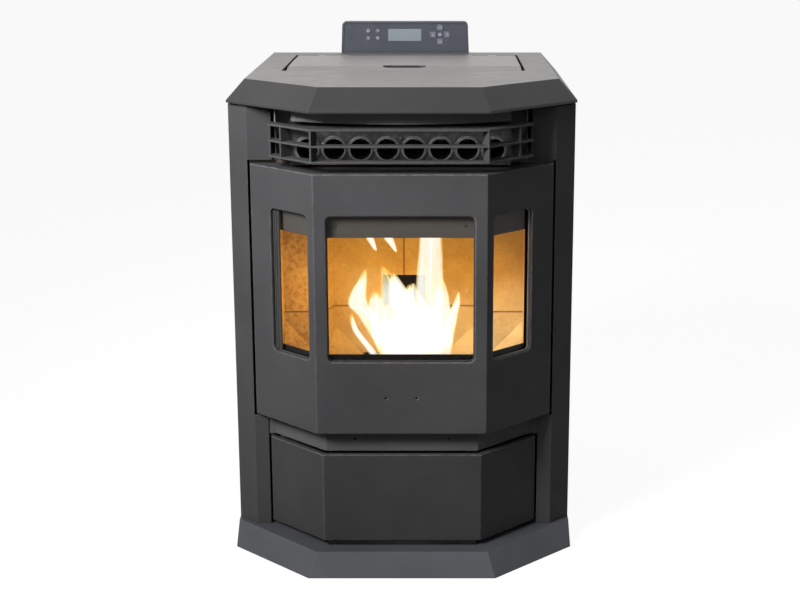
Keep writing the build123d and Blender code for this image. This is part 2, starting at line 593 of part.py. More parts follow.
with BuildPart() as tube_scraper:
    add(block((-UPPER_HALF + PLATE + SCRAPER_SIDE, UPPER_HALF - PLATE - SCRAPER_SIDE),
              (back(SCRAPER_DEPTH), back(SCRAPER_DEPTH) + PLATE), (SCRAPER_BOTTOM, SCRAPER_TOP)))
    with BuildSketch(front_plane(SCRAPER_DEPTH - 1)):
        with Locations(*[(x, TUBE_Z) for x in TUBE_XS]):
            Circle(TUBE_RADIUS + SCRAPER_GAP)
    extrude(amount=-2 * PLATE, mode=Mode.SUBTRACT)
    add(rod((SCRAPER_X, back(SCRAPER_REACH), SCRAPER_Z), (SCRAPER_X, back(SCRAPER_DEPTH), SCRAPER_Z),
            SCRAPER_ROD))
write(tube_scraper, "tube_scraper")

BRICK = 14.0
BRICK_GAP = 0.4
BRICK_BOTTOM = 310.0
JOINT = 2.5
JOINT_DEPTH = 2.0
UPPER_JOINT = 520.0
SIDE_BRICK_TOP = 640.0
BRICK_X = CHAMBER_HALF - PLATE - BRICK_GAP
BRICK_FACE = FIREBOX_BACK - PLATE - BRICK
CORNER_FRONT = BRICK_FACE - 44            # front of the bricks in the rear corners
CORNER_X = (BAY_HALF - 15, BAY_HALF - 1)  # inner edge of a corner brick at its back and at its front
HOLDER_TOP = 304.0


def corner_line(gap):
    """Line round a rear corner brick with at least this gap, from the side to the back: x and depth."""
    reach = BRICK_FACE - CORNER_FRONT
    slant = gap * hypot(CORNER_X[1] - CORNER_X[0], reach) / reach
    return [(BRICK_X - BRICK - gap, CORNER_FRONT - gap), (CORNER_X[1] - slant, CORNER_FRONT - gap),
            (CORNER_X[0] - slant, BRICK_FACE - gap)]


with BuildPart() as firebricks:
    add(block((-BRICK_X, BRICK_X), (back(BRICK_FACE), back(BRICK_FACE) + BRICK - BRICK_GAP),
              (BRICK_BOTTOM, SHELF)))
    for side in SIDES:
        corner_brick = [(BRICK_X, CORNER_FRONT), *corner_line(0)[1:], (BRICK_X, BRICK_FACE)]
        add(prism([(side * x, back(depth)) for x, depth in corner_brick], BRICK_BOTTOM, SIDE_BRICK_TOP))
    add(block((-CHUTE_HALF, CHUTE_HALF), (back(BRICK_FACE) - 1, back(FIREBOX_BACK)),
              (CHUTE_BOTTOM, CHUTE_TOP)),
        mode=Mode.SUBTRACT)
    with BuildSketch(front_plane(BRICK_FACE)):
        for z in (CHUTE_BOTTOM, UPPER_JOINT):
            with Locations((0, z)):
                Rectangle(2 * CORNER_X[0], JOINT)
        with Locations((0, (BRICK_BOTTOM + UPPER_JOINT) / 2)):
            Rectangle(JOINT, UPPER_JOINT - BRICK_BOTTOM)
    extrude(amount=-JOINT_DEPTH, mode=Mode.SUBTRACT)
    with BuildSketch(front_plane(CORNER_FRONT)):
        with Locations((0, CHUTE_BOTTOM)):
            Rectangle(2 * BRICK_X, JOINT)
    extrude(amount=-JOINT_DEPTH, mode=Mode.SUBTRACT)
    for side in SIDES:
        add(block((side * (BRICK_X - BRICK), side * BRICK_X),
                  (FACE_Y + PLATE + BRICK_GAP, back(CORNER_FRONT) - BRICK_GAP),
                  (HOLDER_TOP + BRICK_GAP, SIDE_BRICK_TOP)))
write(firebricks, "firebricks")

HOLDER_HALF = 66.0
HOLDER_FRONT = POT_DEPTH[0] - 6
HOLDER_WALL = 3.0
POT_HALF_X = 46.0
POT_BOTTOM = 264.0
POT_RIM_TOP = 310.0
POT_RIM = 8.0
POT_WALL = 5.0
POT_HOLE = 2.5                # radius of the air holes in the pot's floor
POT_HOLE_COUNT = 5            # holes in each row and column
POT_HOLE_EDGE = (11.0, 9.0)   # from the pot's inner walls to the outer holes
GUIDE_SHEET = 3.0
GUIDE_RISE = (1.05, 1.57)     # rise of a guide's corner plate to the side and to the back
GUIDE_FOOT = CORNER_X[1] - 4  # x of the plate's foot in line with the corner brick's front
LEDGE_X = (HOLDER_HALF + 4, BRICK_X)
LEDGE_FRONT = POT_DEPTH[0] - 12

with BuildPart() as burn_pot_holder:
    limits = ((-HOLDER_HALF, HOLDER_HALF), (back(HOLDER_FRONT), back(FIREBOX_BACK) - PLATE - 1),
              (CHAMBER_FLOOR + PLATE, HOLDER_TOP))
    add(block(*limits))
    add(block((-HOLDER_HALF + HOLDER_WALL, HOLDER_HALF - HOLDER_WALL),
              (limits[1][0] + HOLDER_WALL, limits[1][1] - HOLDER_WALL),
              (CHAMBER_FLOOR, HOLDER_TOP - HOLDER_WALL)), mode=Mode.SUBTRACT)
    add(block((-POT_HALF_X - 1, POT_HALF_X + 1), (back(POT_DEPTH[0]) - 1, back(POT_DEPTH[1]) + 1),
              (CHAMBER_FLOOR, HOLDER_TOP + 1)), mode=Mode.SUBTRACT)
    with BuildSketch(front_plane(FIREBOX_BACK)):
        with Locations((0, IGNITER_Z)):
            Circle(IGNITER_RADIUS + HOLE_GAP)
    extrude(amount=FIREBOX_BACK - POT_DEPTH[1], mode=Mode.SUBTRACT)
write(burn_pot_holder, "burn_pot_holder")


def corner_plate(side):
    """Plate that rises into a rear corner of the firebox."""
    line = corner_line(BRICK_GAP)
    steep = GUIDE_RISE[0] / GUIDE_RISE[1]
    foot_front = CORNER_FRONT - (line[0][0] - GUIDE_FOOT) * steep
    foot_back = GUIDE_FOOT - (line[-1][1] - CORNER_FRONT) / steep
    outline = [(line[0][0], foot_front), *line, (foot_back, line[-1][1])]
    with BuildPart(Plane(origin=(side * GUIDE_FOOT, back(CORNER_FRONT), HOLDER_TOP),
                         z_dir=(-side * GUIDE_RISE[0], -GUIDE_RISE[1], 1))) as sheet:
        Box(4 * BRICK_X, 4 * BRICK_X, GUIDE_SHEET, align=(Align.CENTER, Align.CENTER, Align.MAX))
    with BuildPart() as body:
        add(prism([(side * x, back(depth)) for x, depth in outline], CHAMBER_FLOOR, SHELF))
        add(sheet.part, mode=Mode.INTERSECT)
    return body.part


with BuildPart() as ash_guides:
    for side in SIDES:
        add(block((side * LEDGE_X[0], side * LEDGE_X[1]), (back(LEDGE_FRONT), back(BRICK_FACE - BRICK_GAP)),
                  (HOLDER_TOP - GUIDE_SHEET, HOLDER_TOP)))
        add(corner_plate(side))
write(ash_guides, "ash_guides")

with BuildPart() as burn_pot:
    pot_middle = back(sum(POT_DEPTH) / 2)
    pot_half_y = POT_LENGTH / 2
    inner_halves = (POT_HALF_X - POT_WALL, pot_half_y - POT_WALL)
    hole_steps = [2 * (half - edge) / (POT_HOLE_COUNT - 1) for half, edge in zip(inner_halves, POT_HOLE_EDGE)]
    add(block((-POT_HALF_X, POT_HALF_X), (pot_middle - pot_half_y, pot_middle + pot_half_y),
              (POT_BOTTOM, POT_RIM_TOP)))
    add(block((-POT_HALF_X - POT_RIM, POT_HALF_X + POT_RIM),
              (pot_middle - pot_half_y - POT_RIM, pot_middle + pot_half_y),
              (HOLDER_TOP + FREE_GAP, POT_RIM_TOP)))
    add(block((-POT_HALF_X + POT_WALL, POT_HALF_X - POT_WALL),
              (pot_middle - pot_half_y + POT_WALL, pot_middle + pot_half_y - POT_WALL),
              (POT_BOTTOM + POT_WALL, POT_RIM_TOP + 1)), mode=Mode.SUBTRACT)
    with Locations((0, pot_middle, POT_BOTTOM)):
        with GridLocations(*hole_steps, POT_HOLE_COUNT, POT_HOLE_COUNT):
            Cylinder(POT_HOLE, 3 * POT_WALL, mode=Mode.SUBTRACT)
write(burn_pot, "burn_pot")

with BuildPart() as igniter:
    add(rod((0, back(POT_DEPTH[1]) + IGNITER_GAP, IGNITER_Z),
            (0, back(FIREBOX_BACK) + IGNITER_TAIL, IGNITER_Z),
            IGNITER_RADIUS))
    add(rod((0, back(FIREBOX_BACK), IGNITER_Z), (0, back(FIREBOX_BACK) + IGNITER_COLLAR, IGNITER_Z),
            2 * IGNITER_RADIUS))
write(igniter, "igniter")

# ---------------------------------------------------------------- pellet feed
CHUTE_WALL = 2.0
CHUTE_BACK = FIREBOX_BACK + 83
CHUTE_RISE = 54.0
CHUTE_SLOPE_END = FIREBOX_BACK + 48       # upper end of the sloping roof
CHUTE_ROOF = auger_place(TUBE_ENDS[1])[2] + TUBE_OUTER
TUBE_CAP = 4.0                # thickness of the tube's closed lower end
SHAFT = 6.0                   # radius of the auger's shaft
chute_floor = [(back(FIREBOX_BACK), CHUTE_BOTTOM), (back(CHUTE_BACK), CHUTE_BOTTOM + CHUTE_RISE)]

with BuildPart() as auger_tube:
    profile = chute_floor + [(back(CHUTE_BACK), CHUTE_ROOF), (back(CHUTE_SLOPE_END), CHUTE_ROOF),
                             (back(FIREBOX_BACK), CHUTE_TOP)]
    with BuildSketch(Plane.YZ.offset(-CHUTE_HALF)):
        with BuildLine():
            Polyline(*profile, close=True)
        make_face()
    extrude(amount=2 * CHUTE_HALF)
    with BuildSketch(Plane.YZ.offset(-CHUTE_HALF + CHUTE_WALL)):
        with BuildLine():
            Polyline(*profile, close=True)
        make_face()
        offset(amount=-CHUTE_WALL, kind=Kind.INTERSECTION)
    extrude(amount=2 * (CHUTE_HALF - CHUTE_WALL), mode=Mode.SUBTRACT)
    add(block((-CHUTE_HALF + CHUTE_WALL, CHUTE_HALF - CHUTE_WALL),
              (back(FIREBOX_BACK) - 1, back(FIREBOX_BACK) + 3),
              (CHUTE_BOTTOM + CHUTE_WALL + 1, CHUTE_TOP - CHUTE_WALL - 1)), mode=Mode.SUBTRACT)
    add(rod(auger_place(TUBE_ENDS[0]), auger_place(TUBE_ENDS[1]), TUBE_OUTER))
    add(rod(auger_place(TUBE_ENDS[0] + TUBE_CAP), auger_place(TUBE_ENDS[1] + 1), TUBE_INNER),
        mode=Mode.SUBTRACT)
    inlet = ((-THROAT_HALF + 6, THROAT_HALF - 6), (back(THROAT_DEPTHS[0]) + 4, back(THROAT_DEPTHS[1]) - 4))
    add(block(*inlet, (AUGER_POINT[2] - 10, THROAT_TOP)), mode=Mode.SUBTRACT)
    add(rod(auger_place(TUBE_ENDS[0] - 1), auger_place(TUBE_ENDS[0] + TUBE_CAP + 1), SHAFT + RUNNING),
        mode=Mode.SUBTRACT)
write(auger_tube, "auger_tube")

SCREW_OUTER = 30.0
FLIGHT_PITCH = 48.0
FLIGHT_THICKNESS = 2.5
FLIGHT_RUN = (TUBE_ENDS[0] + 8, TUBE_ENDS[1] - 4)

flight_length = FLIGHT_RUN[1] - FLIGHT_RUN[0]
with BuildPart() as upright_screw:
    with BuildLine():
        Helix(pitch=FLIGHT_PITCH, height=flight_length, radius=SHAFT)
    with BuildSketch(Plane.XZ):
        with Locations(((SCREW_OUTER + SHAFT) / 2 - 0.5, 0)):
            Rectangle(SCREW_OUTER - SHAFT + 1, FLIGHT_THICKNESS)
    sweep(is_frenet=True)
    shaft_start = TUBE_ENDS[0] - 3 - FLIGHT_RUN[0]
    with BuildSketch(Plane.XY.offset(shaft_start).rotated((0, 0, 90))):    # seam away from the flight's start
        Circle(SHAFT)
    extrude(amount=flight_length - shaft_start)

with BuildPart() as auger_screw:
    axis_plane = Plane(origin=auger_place(FLIGHT_RUN[0]), x_dir=(1, 0, 0),
                       z_dir=(0, -AUGER_RUN[0], AUGER_RUN[1]))
    add(upright_screw.part.moved(axis_plane.location))
write(auger_screw, "auger_screw")

GEARBOX_LENGTH = 46.0
GEARBOX_HALF = 34.0
MOTOR_RADIUS = 27.0
MOTOR_LENGTH = 38.0

with BuildPart() as auger_gearmotor:
    gear_plane = Plane(origin=auger_place(TUBE_ENDS[0] - 4), x_dir=(1, 0, 0),
                       z_dir=(0, AUGER_RUN[0], -AUGER_RUN[1]))
    with BuildSketch(gear_plane):
        Rectangle(2 * GEARBOX_HALF, 2 * GEARBOX_HALF)
    extrude(amount=GEARBOX_LENGTH)
    with BuildSketch(gear_plane.offset(GEARBOX_LENGTH)):
        Circle(MOTOR_RADIUS)
    extrude(amount=MOTOR_LENGTH)
write(auger_gearmotor, "auger_gearmotor")

# ---------------------------------------------------------------- warm air: plenum and convection blower
PLENUM_HALF = UPPER_HALF + 12
PLENUM_BOTTOM = 240.0
PLENUM_WALL = 2.0
BLOWER_X = (20.0, 180.0)
BLOWER_BEHIND = 148.0         # blower's axis behind the firebox
BLOWER_DEPTH = FIREBOX_BACK + BLOWER_BEHIND
BLOWER_Z = 140.0
BLOWER_RADIUS = 82.0
BLOWER_INLET = 48.0
DUCT_Z = (158.0, 220.0)
MOTOR_SHAFT = 4.0
SHAFT_SEAT = 20.0             # depth of the shaft's bore in a fan motor
SHAFT_ENTRY = 12.0            # length of the shaft inside the motor
FAN_MOTOR_RADIUS = 36.0
FAN_MOTOR_LENGTH = 46.0
FAN_SIDE_GAP = 6.0            # between the impeller's ends and the housing
FAN_BLADE = 1.5
CONVECTION_FAN = (66.0, 10.0, 14.0)       # radius, hub radius, blade depth
CONVECTION_BLADE_COUNT = 24
ARM_STANDOFF = 8.0            # arms of the motor's mount in front of the blower's inlet
ARM_REACH = 62.0
ARM_WIDTH = 10.0
ARM_SHEET = 4.0

with BuildPart() as air_plenum:
    add(block((-PLENUM_HALF, PLENUM_HALF), (back(FIREBOX_BACK), back(PLENUM_BACK)),
              (PLENUM_BOTTOM, UPPER_TOP)))
    add(block(BLOWER_X, (back(FIREBOX_BACK), back(PLENUM_BACK)), (DUCT_Z[0] - 4, PLENUM_BOTTOM)))
    add(block((-PLENUM_HALF + PLENUM_WALL, PLENUM_HALF - PLENUM_WALL),
              (back(FIREBOX_BACK) - 1, back(PLENUM_BACK) - PLENUM_WALL),
              (PLENUM_BOTTOM + PLENUM_WALL, UPPER_TOP - PLENUM_WALL)), mode=Mode.SUBTRACT)
    add(block((BLOWER_X[0] + PLENUM_WALL, BLOWER_X[1] - PLENUM_WALL),
              (back(FIREBOX_BACK) + PLENUM_WALL, back(PLENUM_BACK) - PLENUM_WALL), (DUCT_Z[0] - 2,
                                                                                    PLENUM_BOTTOM + 3)),
        mode=Mode.SUBTRACT)
    add(block((BLOWER_X[0] + PLENUM_WALL, BLOWER_X[1] - PLENUM_WALL),
              (back(PLENUM_BACK) - 3, back(PLENUM_BACK) + 1),
              (DUCT_Z[0] + PLENUM_WALL, DUCT_Z[1] - PLENUM_WALL)), mode=Mode.SUBTRACT)
    with BuildSketch(front_plane(PLENUM_BACK - 3)):
        with Locations((0, (CHUTE_BOTTOM + CHUTE_ROOF) / 2)):
            Rectangle(2 * (CHUTE_HALF + HOLE_GAP), CHUTE_ROOF - CHUTE_BOTTOM + 2 * HOLE_GAP)
        with Locations((INTAKE_X, INTAKE_Z)):
            Circle(INTAKE_RADIUS + HOLE_GAP)
        with Locations((0, IGNITER_Z)):
            Circle(IGNITER_RADIUS + HOLE_GAP)
    extrude(amount=-4, mode=Mode.SUBTRACT)
write(air_plenum, "air_plenum")

with BuildPart() as convection_blower_housing:
    ends = ((BLOWER_X[0], back(BLOWER_DEPTH), BLOWER_Z), (BLOWER_X[1], back(BLOWER_DEPTH), BLOWER_Z))
    add(rod(*ends, BLOWER_RADIUS))
    add(block(BLOWER_X, (back(PLENUM_BACK), back(BLOWER_DEPTH)), DUCT_Z))
    inner_x = (BLOWER_X[0] + SHEET, BLOWER_X[1] - SHEET)
    add(rod((inner_x[0], *ends[0][1:]), (inner_x[1], *ends[1][1:]), BLOWER_RADIUS - SHEET),
        mode=Mode.SUBTRACT)
    add(block(inner_x, (back(PLENUM_BACK) - 1, back(BLOWER_DEPTH)), (DUCT_Z[0] + SHEET, DUCT_Z[1] - SHEET)),
        mode=Mode.SUBTRACT)
    add(rod((ends[0][0] - 1, *ends[0][1:]), (ends[1][0] + 1, *ends[1][1:]), BLOWER_INLET),
        mode=Mode.SUBTRACT)
write(convection_blower_housing, "convection_blower_housing")


def impeller(start, end, blades, radius, hub, depth):
    """Drum impeller: a back disc, a hub and straight blades round the rim, along the X axis."""
    middle = start[1:]
    with BuildPart() as body:
        add(rod(start, (start[0] + SHEET, *middle), radius))
        add(rod(start, end, hub))
        for index in range(blades):
            turn = index * 360 / blades
            with BuildSketch(Plane(origin=start, x_dir=(0, cos(radians(turn)), sin(radians(turn))),
                                   z_dir=(1, 0, 0))):
                with Locations((radius - depth / 2, 0)):
                    Rectangle(depth, FAN_BLADE)
            extrude(amount=end[0] - start[0])
    return body.part


with BuildPart() as convection_impeller:
    middle = (back(BLOWER_DEPTH), BLOWER_Z)
    fan_start = BLOWER_X[0] + FAN_SIDE_GAP
    add(impeller((fan_start, *middle), (BLOWER_X[1] - FAN_SIDE_GAP, *middle), CONVECTION_BLADE_COUNT,
                 *CONVECTION_FAN))
    add(rod((BLOWER_X[0] - ARM_STANDOFF - SHAFT_ENTRY, *middle), (fan_start, *middle), MOTOR_SHAFT))
write(convection_impeller, "convection_impeller")

with BuildPart() as convection_blower_motor:
    motor_face = BLOWER_X[0] - ARM_STANDOFF
    motor_plane = Plane(origin=(motor_face, *middle), x_dir=(0, 1, 0), z_dir=(1, 0, 0))
    add(rod((motor_face - FAN_MOTOR_LENGTH, *middle), (motor_face, *middle), FAN_MOTOR_RADIUS))
    with BuildSketch(motor_plane):
        with PolarLocations(0, 3):
            Rectangle(ARM_REACH, ARM_WIDTH, align=(Align.MIN, Align.CENTER))
    extrude(amount=-ARM_SHEET)
    with BuildSketch(motor_plane):
        with PolarLocations(ARM_REACH - ARM_WIDTH / 2, 3):
            Rectangle(ARM_WIDTH, ARM_WIDTH)
    extrude(amount=ARM_STANDOFF)
    add(rod((motor_face - SHAFT_SEAT, *middle), (motor_face + 1, *middle), MOTOR_SHAFT + RUNNING),
        mode=Mode.SUBTRACT)
write(convection_blower_motor, "convection_blower_motor")

# ---------------------------------------------------------------- exhaust side
VOLUTE_X = (FLUE_X - 38, FLUE_X + 38)
VOLUTE_BEHIND = 158.0         # exhaust blower's axis behind the firebox
VOLUTE_DEPTH = FIREBOX_BACK + VOLUTE_BEHIND
VOLUTE_Z = 150.0
VOLUTE_RADIUS = 76.0
VOLUTE_OUT = VOLUTE_DEPTH + 80
SMOKE_INLET = 34.0
DUCT = 2.0
SMOKE_Z = (110.0, 190.0)
SMOKE_TURN = (FIREBOX_BACK + 4, FIREBOX_BACK + 38)        # where the duct turns towards the middle
SMOKE_INNER = EXHAUST_X[1] + 40
SMOKE_BOXES = [(EXHAUST_X, (EXHAUST_DEPTH[0], FIREBOX_BACK - PLATE), (SMOKE_Z[0], CHAMBER_FLOOR)),
               (EXHAUST_X, (EXHAUST_DEPTH[0], SMOKE_TURN[1]), SMOKE_Z),
               ((EXHAUST_X[0], SMOKE_INNER), SMOKE_TURN, SMOKE_Z),
               ((EXHAUST_X[1], SMOKE_INNER), (SMOKE_TURN[0], VOLUTE_DEPTH + 50), SMOKE_Z)]
EXHAUST_FAN = (60.0, 8.0, 40.0)           # radius, hub radius, blade depth
EXHAUST_BLADE_COUNT = 10
EXHAUST_FAN_X = (VOLUTE_X[0] + 12, VOLUTE_X[0] + 40)
EXHAUST_MOTOR_X = (VOLUTE_X[0] - 54, VOLUTE_X[0] - 10)
LEG_CIRCLE = 28.0             # radius of the circle of the motor's three legs
LEG_RADIUS = 4.0


def shrink(limits, amount):
    """A pair of limits drawn in at both ends."""
    return (limits[0] + amount, limits[1] - amount)


with BuildPart() as exhaust_blower_housing:
    middle = (back(VOLUTE_DEPTH), VOLUTE_Z)
    add(rod((VOLUTE_X[0], *middle), (VOLUTE_X[1], *middle), VOLUTE_RADIUS))
    outlet_z = (FLUE_Z - FLUE_RADIUS - 3, FLUE_Z + FLUE_RADIUS + 3)
    add(block(VOLUTE_X, (back(VOLUTE_DEPTH), back(VOLUTE_OUT)), outlet_z))
    for xs, depths, zs in SMOKE_BOXES:
        add(block(xs, (back(depths[0]), back(depths[1])), zs))
    add(rod((VOLUTE_X[0] + DUCT, *middle), (VOLUTE_X[1] - DUCT, *middle), VOLUTE_RADIUS - DUCT),
        mode=Mode.SUBTRACT)
    add(rod((FLUE_X, back(VOLUTE_DEPTH), FLUE_Z), (FLUE_X, back(VOLUTE_OUT) + 1, FLUE_Z),
            FLUE_RADIUS - PIPE_WALL),
        mode=Mode.SUBTRACT)
    for xs, depths, zs in SMOKE_BOXES:
        top = zs[1] + 1 if zs[1] == CHAMBER_FLOOR else zs[1] - DUCT
        add(block(shrink(xs, DUCT), shrink((back(depths[0]), back(depths[1])), DUCT), (zs[0] + DUCT, top)),
            mode=Mode.SUBTRACT)
    add(rod((VOLUTE_X[1] - 3, *middle), (VOLUTE_X[1] + 3, *middle), SMOKE_INLET), mode=Mode.SUBTRACT)
    add(rod((VOLUTE_X[0] - 1, *middle), (VOLUTE_X[0] + 3, *middle), MOTOR_SHAFT + RUNNING),
        mode=Mode.SUBTRACT)
write(exhaust_blower_housing, "exhaust_blower_housing")

with BuildPart() as exhaust_impeller:
    add(impeller((EXHAUST_FAN_X[0], *middle), (EXHAUST_FAN_X[1], *middle), EXHAUST_BLADE_COUNT,
                 *EXHAUST_FAN))
    add(rod((EXHAUST_MOTOR_X[1] - SHAFT_ENTRY / 2, *middle), (EXHAUST_FAN_X[0], *middle), MOTOR_SHAFT))
write(exhaust_impeller, "exhaust_impeller")

with BuildPart() as exhaust_blower_motor:
    add(rod((EXHAUST_MOTOR_X[0], *middle), (EXHAUST_MOTOR_X[1], *middle), FAN_MOTOR_RADIUS))
    for angle in (90, 210, 330):
        y = middle[0] + LEG_CIRCLE * cos(radians(angle))
        z = middle[1] + LEG_CIRCLE * sin(radians(angle))
        add(rod((EXHAUST_MOTOR_X[1], y, z), (VOLUTE_X[0], y, z), LEG_RADIUS))
    add(rod((EXHAUST_MOTOR_X[1] - SHAFT_ENTRY, *middle), (EXHAUST_MOTOR_X[1] + 1, *middle),
            MOTOR_SHAFT + RUNNING),
        mode=Mode.SUBTRACT)
write(exhaust_blower_motor, "exhaust_blower_motor")

with BuildPart() as flue_outlet:
    add(pipe((FLUE_X, back(VOLUTE_OUT), FLUE_Z), (FLUE_X, back(REAR_REACH), FLUE_Z), FLUE_RADIUS,
             FLUE_RADIUS - PIPE_WALL))
    add(pipe((FLUE_X, back(BODY_DEPTH), FLUE_Z), (FLUE_X, back(BODY_DEPTH) + COLLAR_HEIGHT, FLUE_Z),
             FLUE_RADIUS + COLLAR, FLUE_RADIUS - PIPE_WALL))
write(flue_outlet, "flue_outlet")

INTAKE_END = BODY_DEPTH + 42
with BuildPart() as air_intake_pipe:
    add(pipe((INTAKE_X, back(FIREBOX_BACK) - PLATE, INTAKE_Z), (INTAKE_X, back(INTAKE_END), INTAKE_Z),
             INTAKE_RADIUS, INTAKE_RADIUS - PIPE_WALL))
    add(pipe((INTAKE_X, back(BODY_DEPTH), INTAKE_Z), (INTAKE_X, back(BODY_DEPTH) + COLLAR_HEIGHT, INTAKE_Z),
             INTAKE_RADIUS + COLLAR, INTAKE_RADIUS - PIPE_WALL))
write(air_intake_pipe, "air_intake_pipe")

INLET_BODY = 22.0             # depth of the socket's body behind the rear panel's face
INLET_FLANGE = (50.0, 24.0, 3.0)
SOCKET = (24.0, 16.0, 17.0)   # width, height and depth of the socket's hollow
INLET_PINS = ((-7, -2), (0, 3), (7, -2))
PIN_SIZE = (2.0, 5.0)


def inlet_block(width, height, depth_range, x=0, z=0):
    """Block of the power inlet about its middle, between two distances from the rear panel's face."""
    return block((INLET_X + x - width / 2, INLET_X + x + width / 2),
                 (back(BODY_DEPTH) + depth_range[0], back(BODY_DEPTH) + depth_range[1]),
                 (INLET_Z + z - height / 2, INLET_Z + z + height / 2))


with BuildPart() as power_inlet:
    add(inlet_block(INLET_WIDTH, INLET_HEIGHT, (-INLET_BODY, 0)))
    add(inlet_block(INLET_FLANGE[0], INLET_FLANGE[1], (0, INLET_FLANGE[2])))
    add(inlet_block(SOCKET[0], SOCKET[1], (-SOCKET[2], INLET_FLANGE[2] + 1)), mode=Mode.SUBTRACT)
    for x, z in INLET_PINS:
        add(inlet_block(*PIN_SIZE, (-SOCKET[2] - 1, -1), x, z))
write(power_inlet, "power_inlet")

# ---------------------------------------------------------------- warm-air outlet
BLADE_OFFSET = 5.3
BLADE_DEPTH = 22.0
BLADE_THICKNESS = 3.0
BLADE_HALF = UPPER_FLANGE_HALF - HOLE_GAP
BLADE_ZS = (SHELF + 14, SHELF + 39, SHELF + 65)
STRUT = 3.0
STRUT_SETBACK = 13.0          # end struts behind the blades' front edge
WING_STRUT = (BLADE_HALF - BAY_HALF) / WING_COS - 34.5    # along the wing from the bend

with BuildPart() as grille_blades:
    for z in BLADE_ZS:
        add(prism(bay_band(BLADE_OFFSET, BLADE_OFFSET - BLADE_DEPTH, BLADE_HALF), z - BLADE_THICKNESS / 2,
                  z + BLADE_THICKNESS / 2))
write(grille_blades, "grille_blades")

with BuildPart() as grille_struts:
    for low, high in zip(BLADE_ZS, BLADE_ZS[1:]):
        span = (low + BLADE_THICKNESS / 2, high - BLADE_THICKNESS / 2)
        for side in SIDES:
            half_turn = radians(WING_ANGLE / 2)
            bend = Plane(origin=(side * bay_half(BLADE_OFFSET - 1), back(1 - BLADE_OFFSET), span[0]),
                         x_dir=(-side * sin(half_turn), cos(half_turn), 0), z_dir=(0, 0, 1))
            wing = wing_plane(side, 1 - BLADE_OFFSET)
            along = wing.from_local_coords(Vector(side * WING_STRUT, 0, 0))
            wing_strut = Plane(origin=(along.X, along.Y, span[0]), x_dir=(-side * WING_SIN, WING_COS, 0),
                               z_dir=(0, 0, 1))
            for place in (bend, wing_strut):
                with BuildSketch(place):
                    with Locations(((BLADE_DEPTH - 2) / 2, 0)):
                        Rectangle(BLADE_DEPTH - 2, STRUT)
                extrude(amount=span[1] - span[0])
    for side in SIDES:
        start = bay_line(BLADE_OFFSET, BLADE_HALF)[3][1] + STRUT_SETBACK
        for low, high in zip(BLADE_ZS, BLADE_ZS[1:]):
            add(block((side * (BLADE_HALF - STRUT), side * BLADE_HALF), (start, back(FLANGE_DEPTH + SHEET)),
                      (low + BLADE_THICKNESS / 2, high - BLADE_THICKNESS / 2)))
write(grille_struts, "grille_struts")

HOOD_HALF = UPPER_HALF
HOOD_FRONT = 35.0
HOOD_SAG = 47.0
HOOD_BOTTOM = UPPER_TOP + 7
CHEEK_FRONT = FACE_DEPTH - 35
CHEEK_HALF = UPPER_HALF + 28

with BuildPart() as outlet_hood:
    with BuildSketch(Plane.XY.offset(HOOD_BOTTOM)):
        with BuildLine():
            outer_arc = ThreePointArc((-HOOD_HALF, back(HOOD_FRONT + HOOD_SAG)), (0, back(HOOD_FRONT)),
                                      (HOOD_HALF, back(HOOD_FRONT + HOOD_SAG)))
            inner_arc = ThreePointArc((-HOOD_HALF, back(HOOD_FRONT + HOOD_SAG) + SHEET),
                                      (0, back(HOOD_FRONT) + SHEET),
                                      (HOOD_HALF, back(HOOD_FRONT + HOOD_SAG) + SHEET))
            Line(outer_arc @ 0, inner_arc @ 0)
            Line(outer_arc @ 1, inner_arc @ 1)
        make_face()
    extrude(amount=TOP_LIP_TOP - HOOD_BOTTOM)
    for side in SIDES:
        add(block((side * HOOD_HALF, side * (HOOD_HALF - SHEET)),
                  (back(HOOD_FRONT + HOOD_SAG), back(FACE_DEPTH)),
                  (HOOD_BOTTOM, TOP_LIP_TOP)))
        add(block((side * (CHEEK_HALF - SHEET), side * CHEEK_HALF), (back(CHEEK_FRONT), back(FACE_DEPTH)),
                  (SHELF + PLATE, TOP_LIP_TOP)))
    add(block((-CHEEK_HALF, CHEEK_HALF), (back(FACE_DEPTH) - SHEET, back(FACE_DEPTH)),
              (SHELF + PLATE, TOP_LIP_TOP)))
    add(block((-UPPER_HALF - HOLE_GAP, UPPER_HALF + HOLE_GAP),
              (back(FACE_DEPTH) - SHEET - 1, back(FACE_DEPTH) + 1),
              (SHELF, UPPER_TOP + HOLE_GAP)), mode=Mode.SUBTRACT)
write(outlet_hood, "outlet_hood")

# ---------------------------------------------------------------- door
EDGE_CHAMFER = 6.0
RIM_HALF = DOOR_HALF - 28     # half width of the opening in the door's rear flange
RIM_BOTTOM = 262.0
RIM_TOP = 649.0
RIM_DEPTH = DOOR_BACK - 14    # front of the rear flange
ROPE_WIDTH = 8.0
ROPE_GROOVE = 4.0
ROPE_INSET = 1.5
ROPE_ROUND = 2.5
HINGE_BACK = 9.0              # hinge axis behind the wing's outer face
HINGE_IN = 5.0                # hinge axis from the wing's edge
DOOR_EDGE_Y = DOOR_Y + (DOOR_HALF - BAY_HALF) * WING_TAN
AXIS_X = -DOOR_HALF + (HINGE_IN + HINGE_BACK) * WING_COS
AXIS_Y = DOOR_EDGE_Y + (HINGE_BACK - HINGE_IN) * WING_COS
BARREL = 4.0
DOOR_PIN = 2.5
BARREL_HEIGHT = 36.0
PIN_HEIGHT = 30.0
HINGE_ZS = (262.0, 575.0)
POCKET_GAP = 0.6
LEAF = 3.0
DOOR_HOLE_X = 25.0
DOOR_HOLE_Z = 301.0
LATCH_ROD = 3.5
LATCH_TOP = 480.0
LATCH_FOOT = DOOR_BOTTOM - 3
FINGER_POCKET = FINGER_LENGTH + 2.1
HINGE_FOOT = 2.0              # plate of the hinge bracket against the firebox
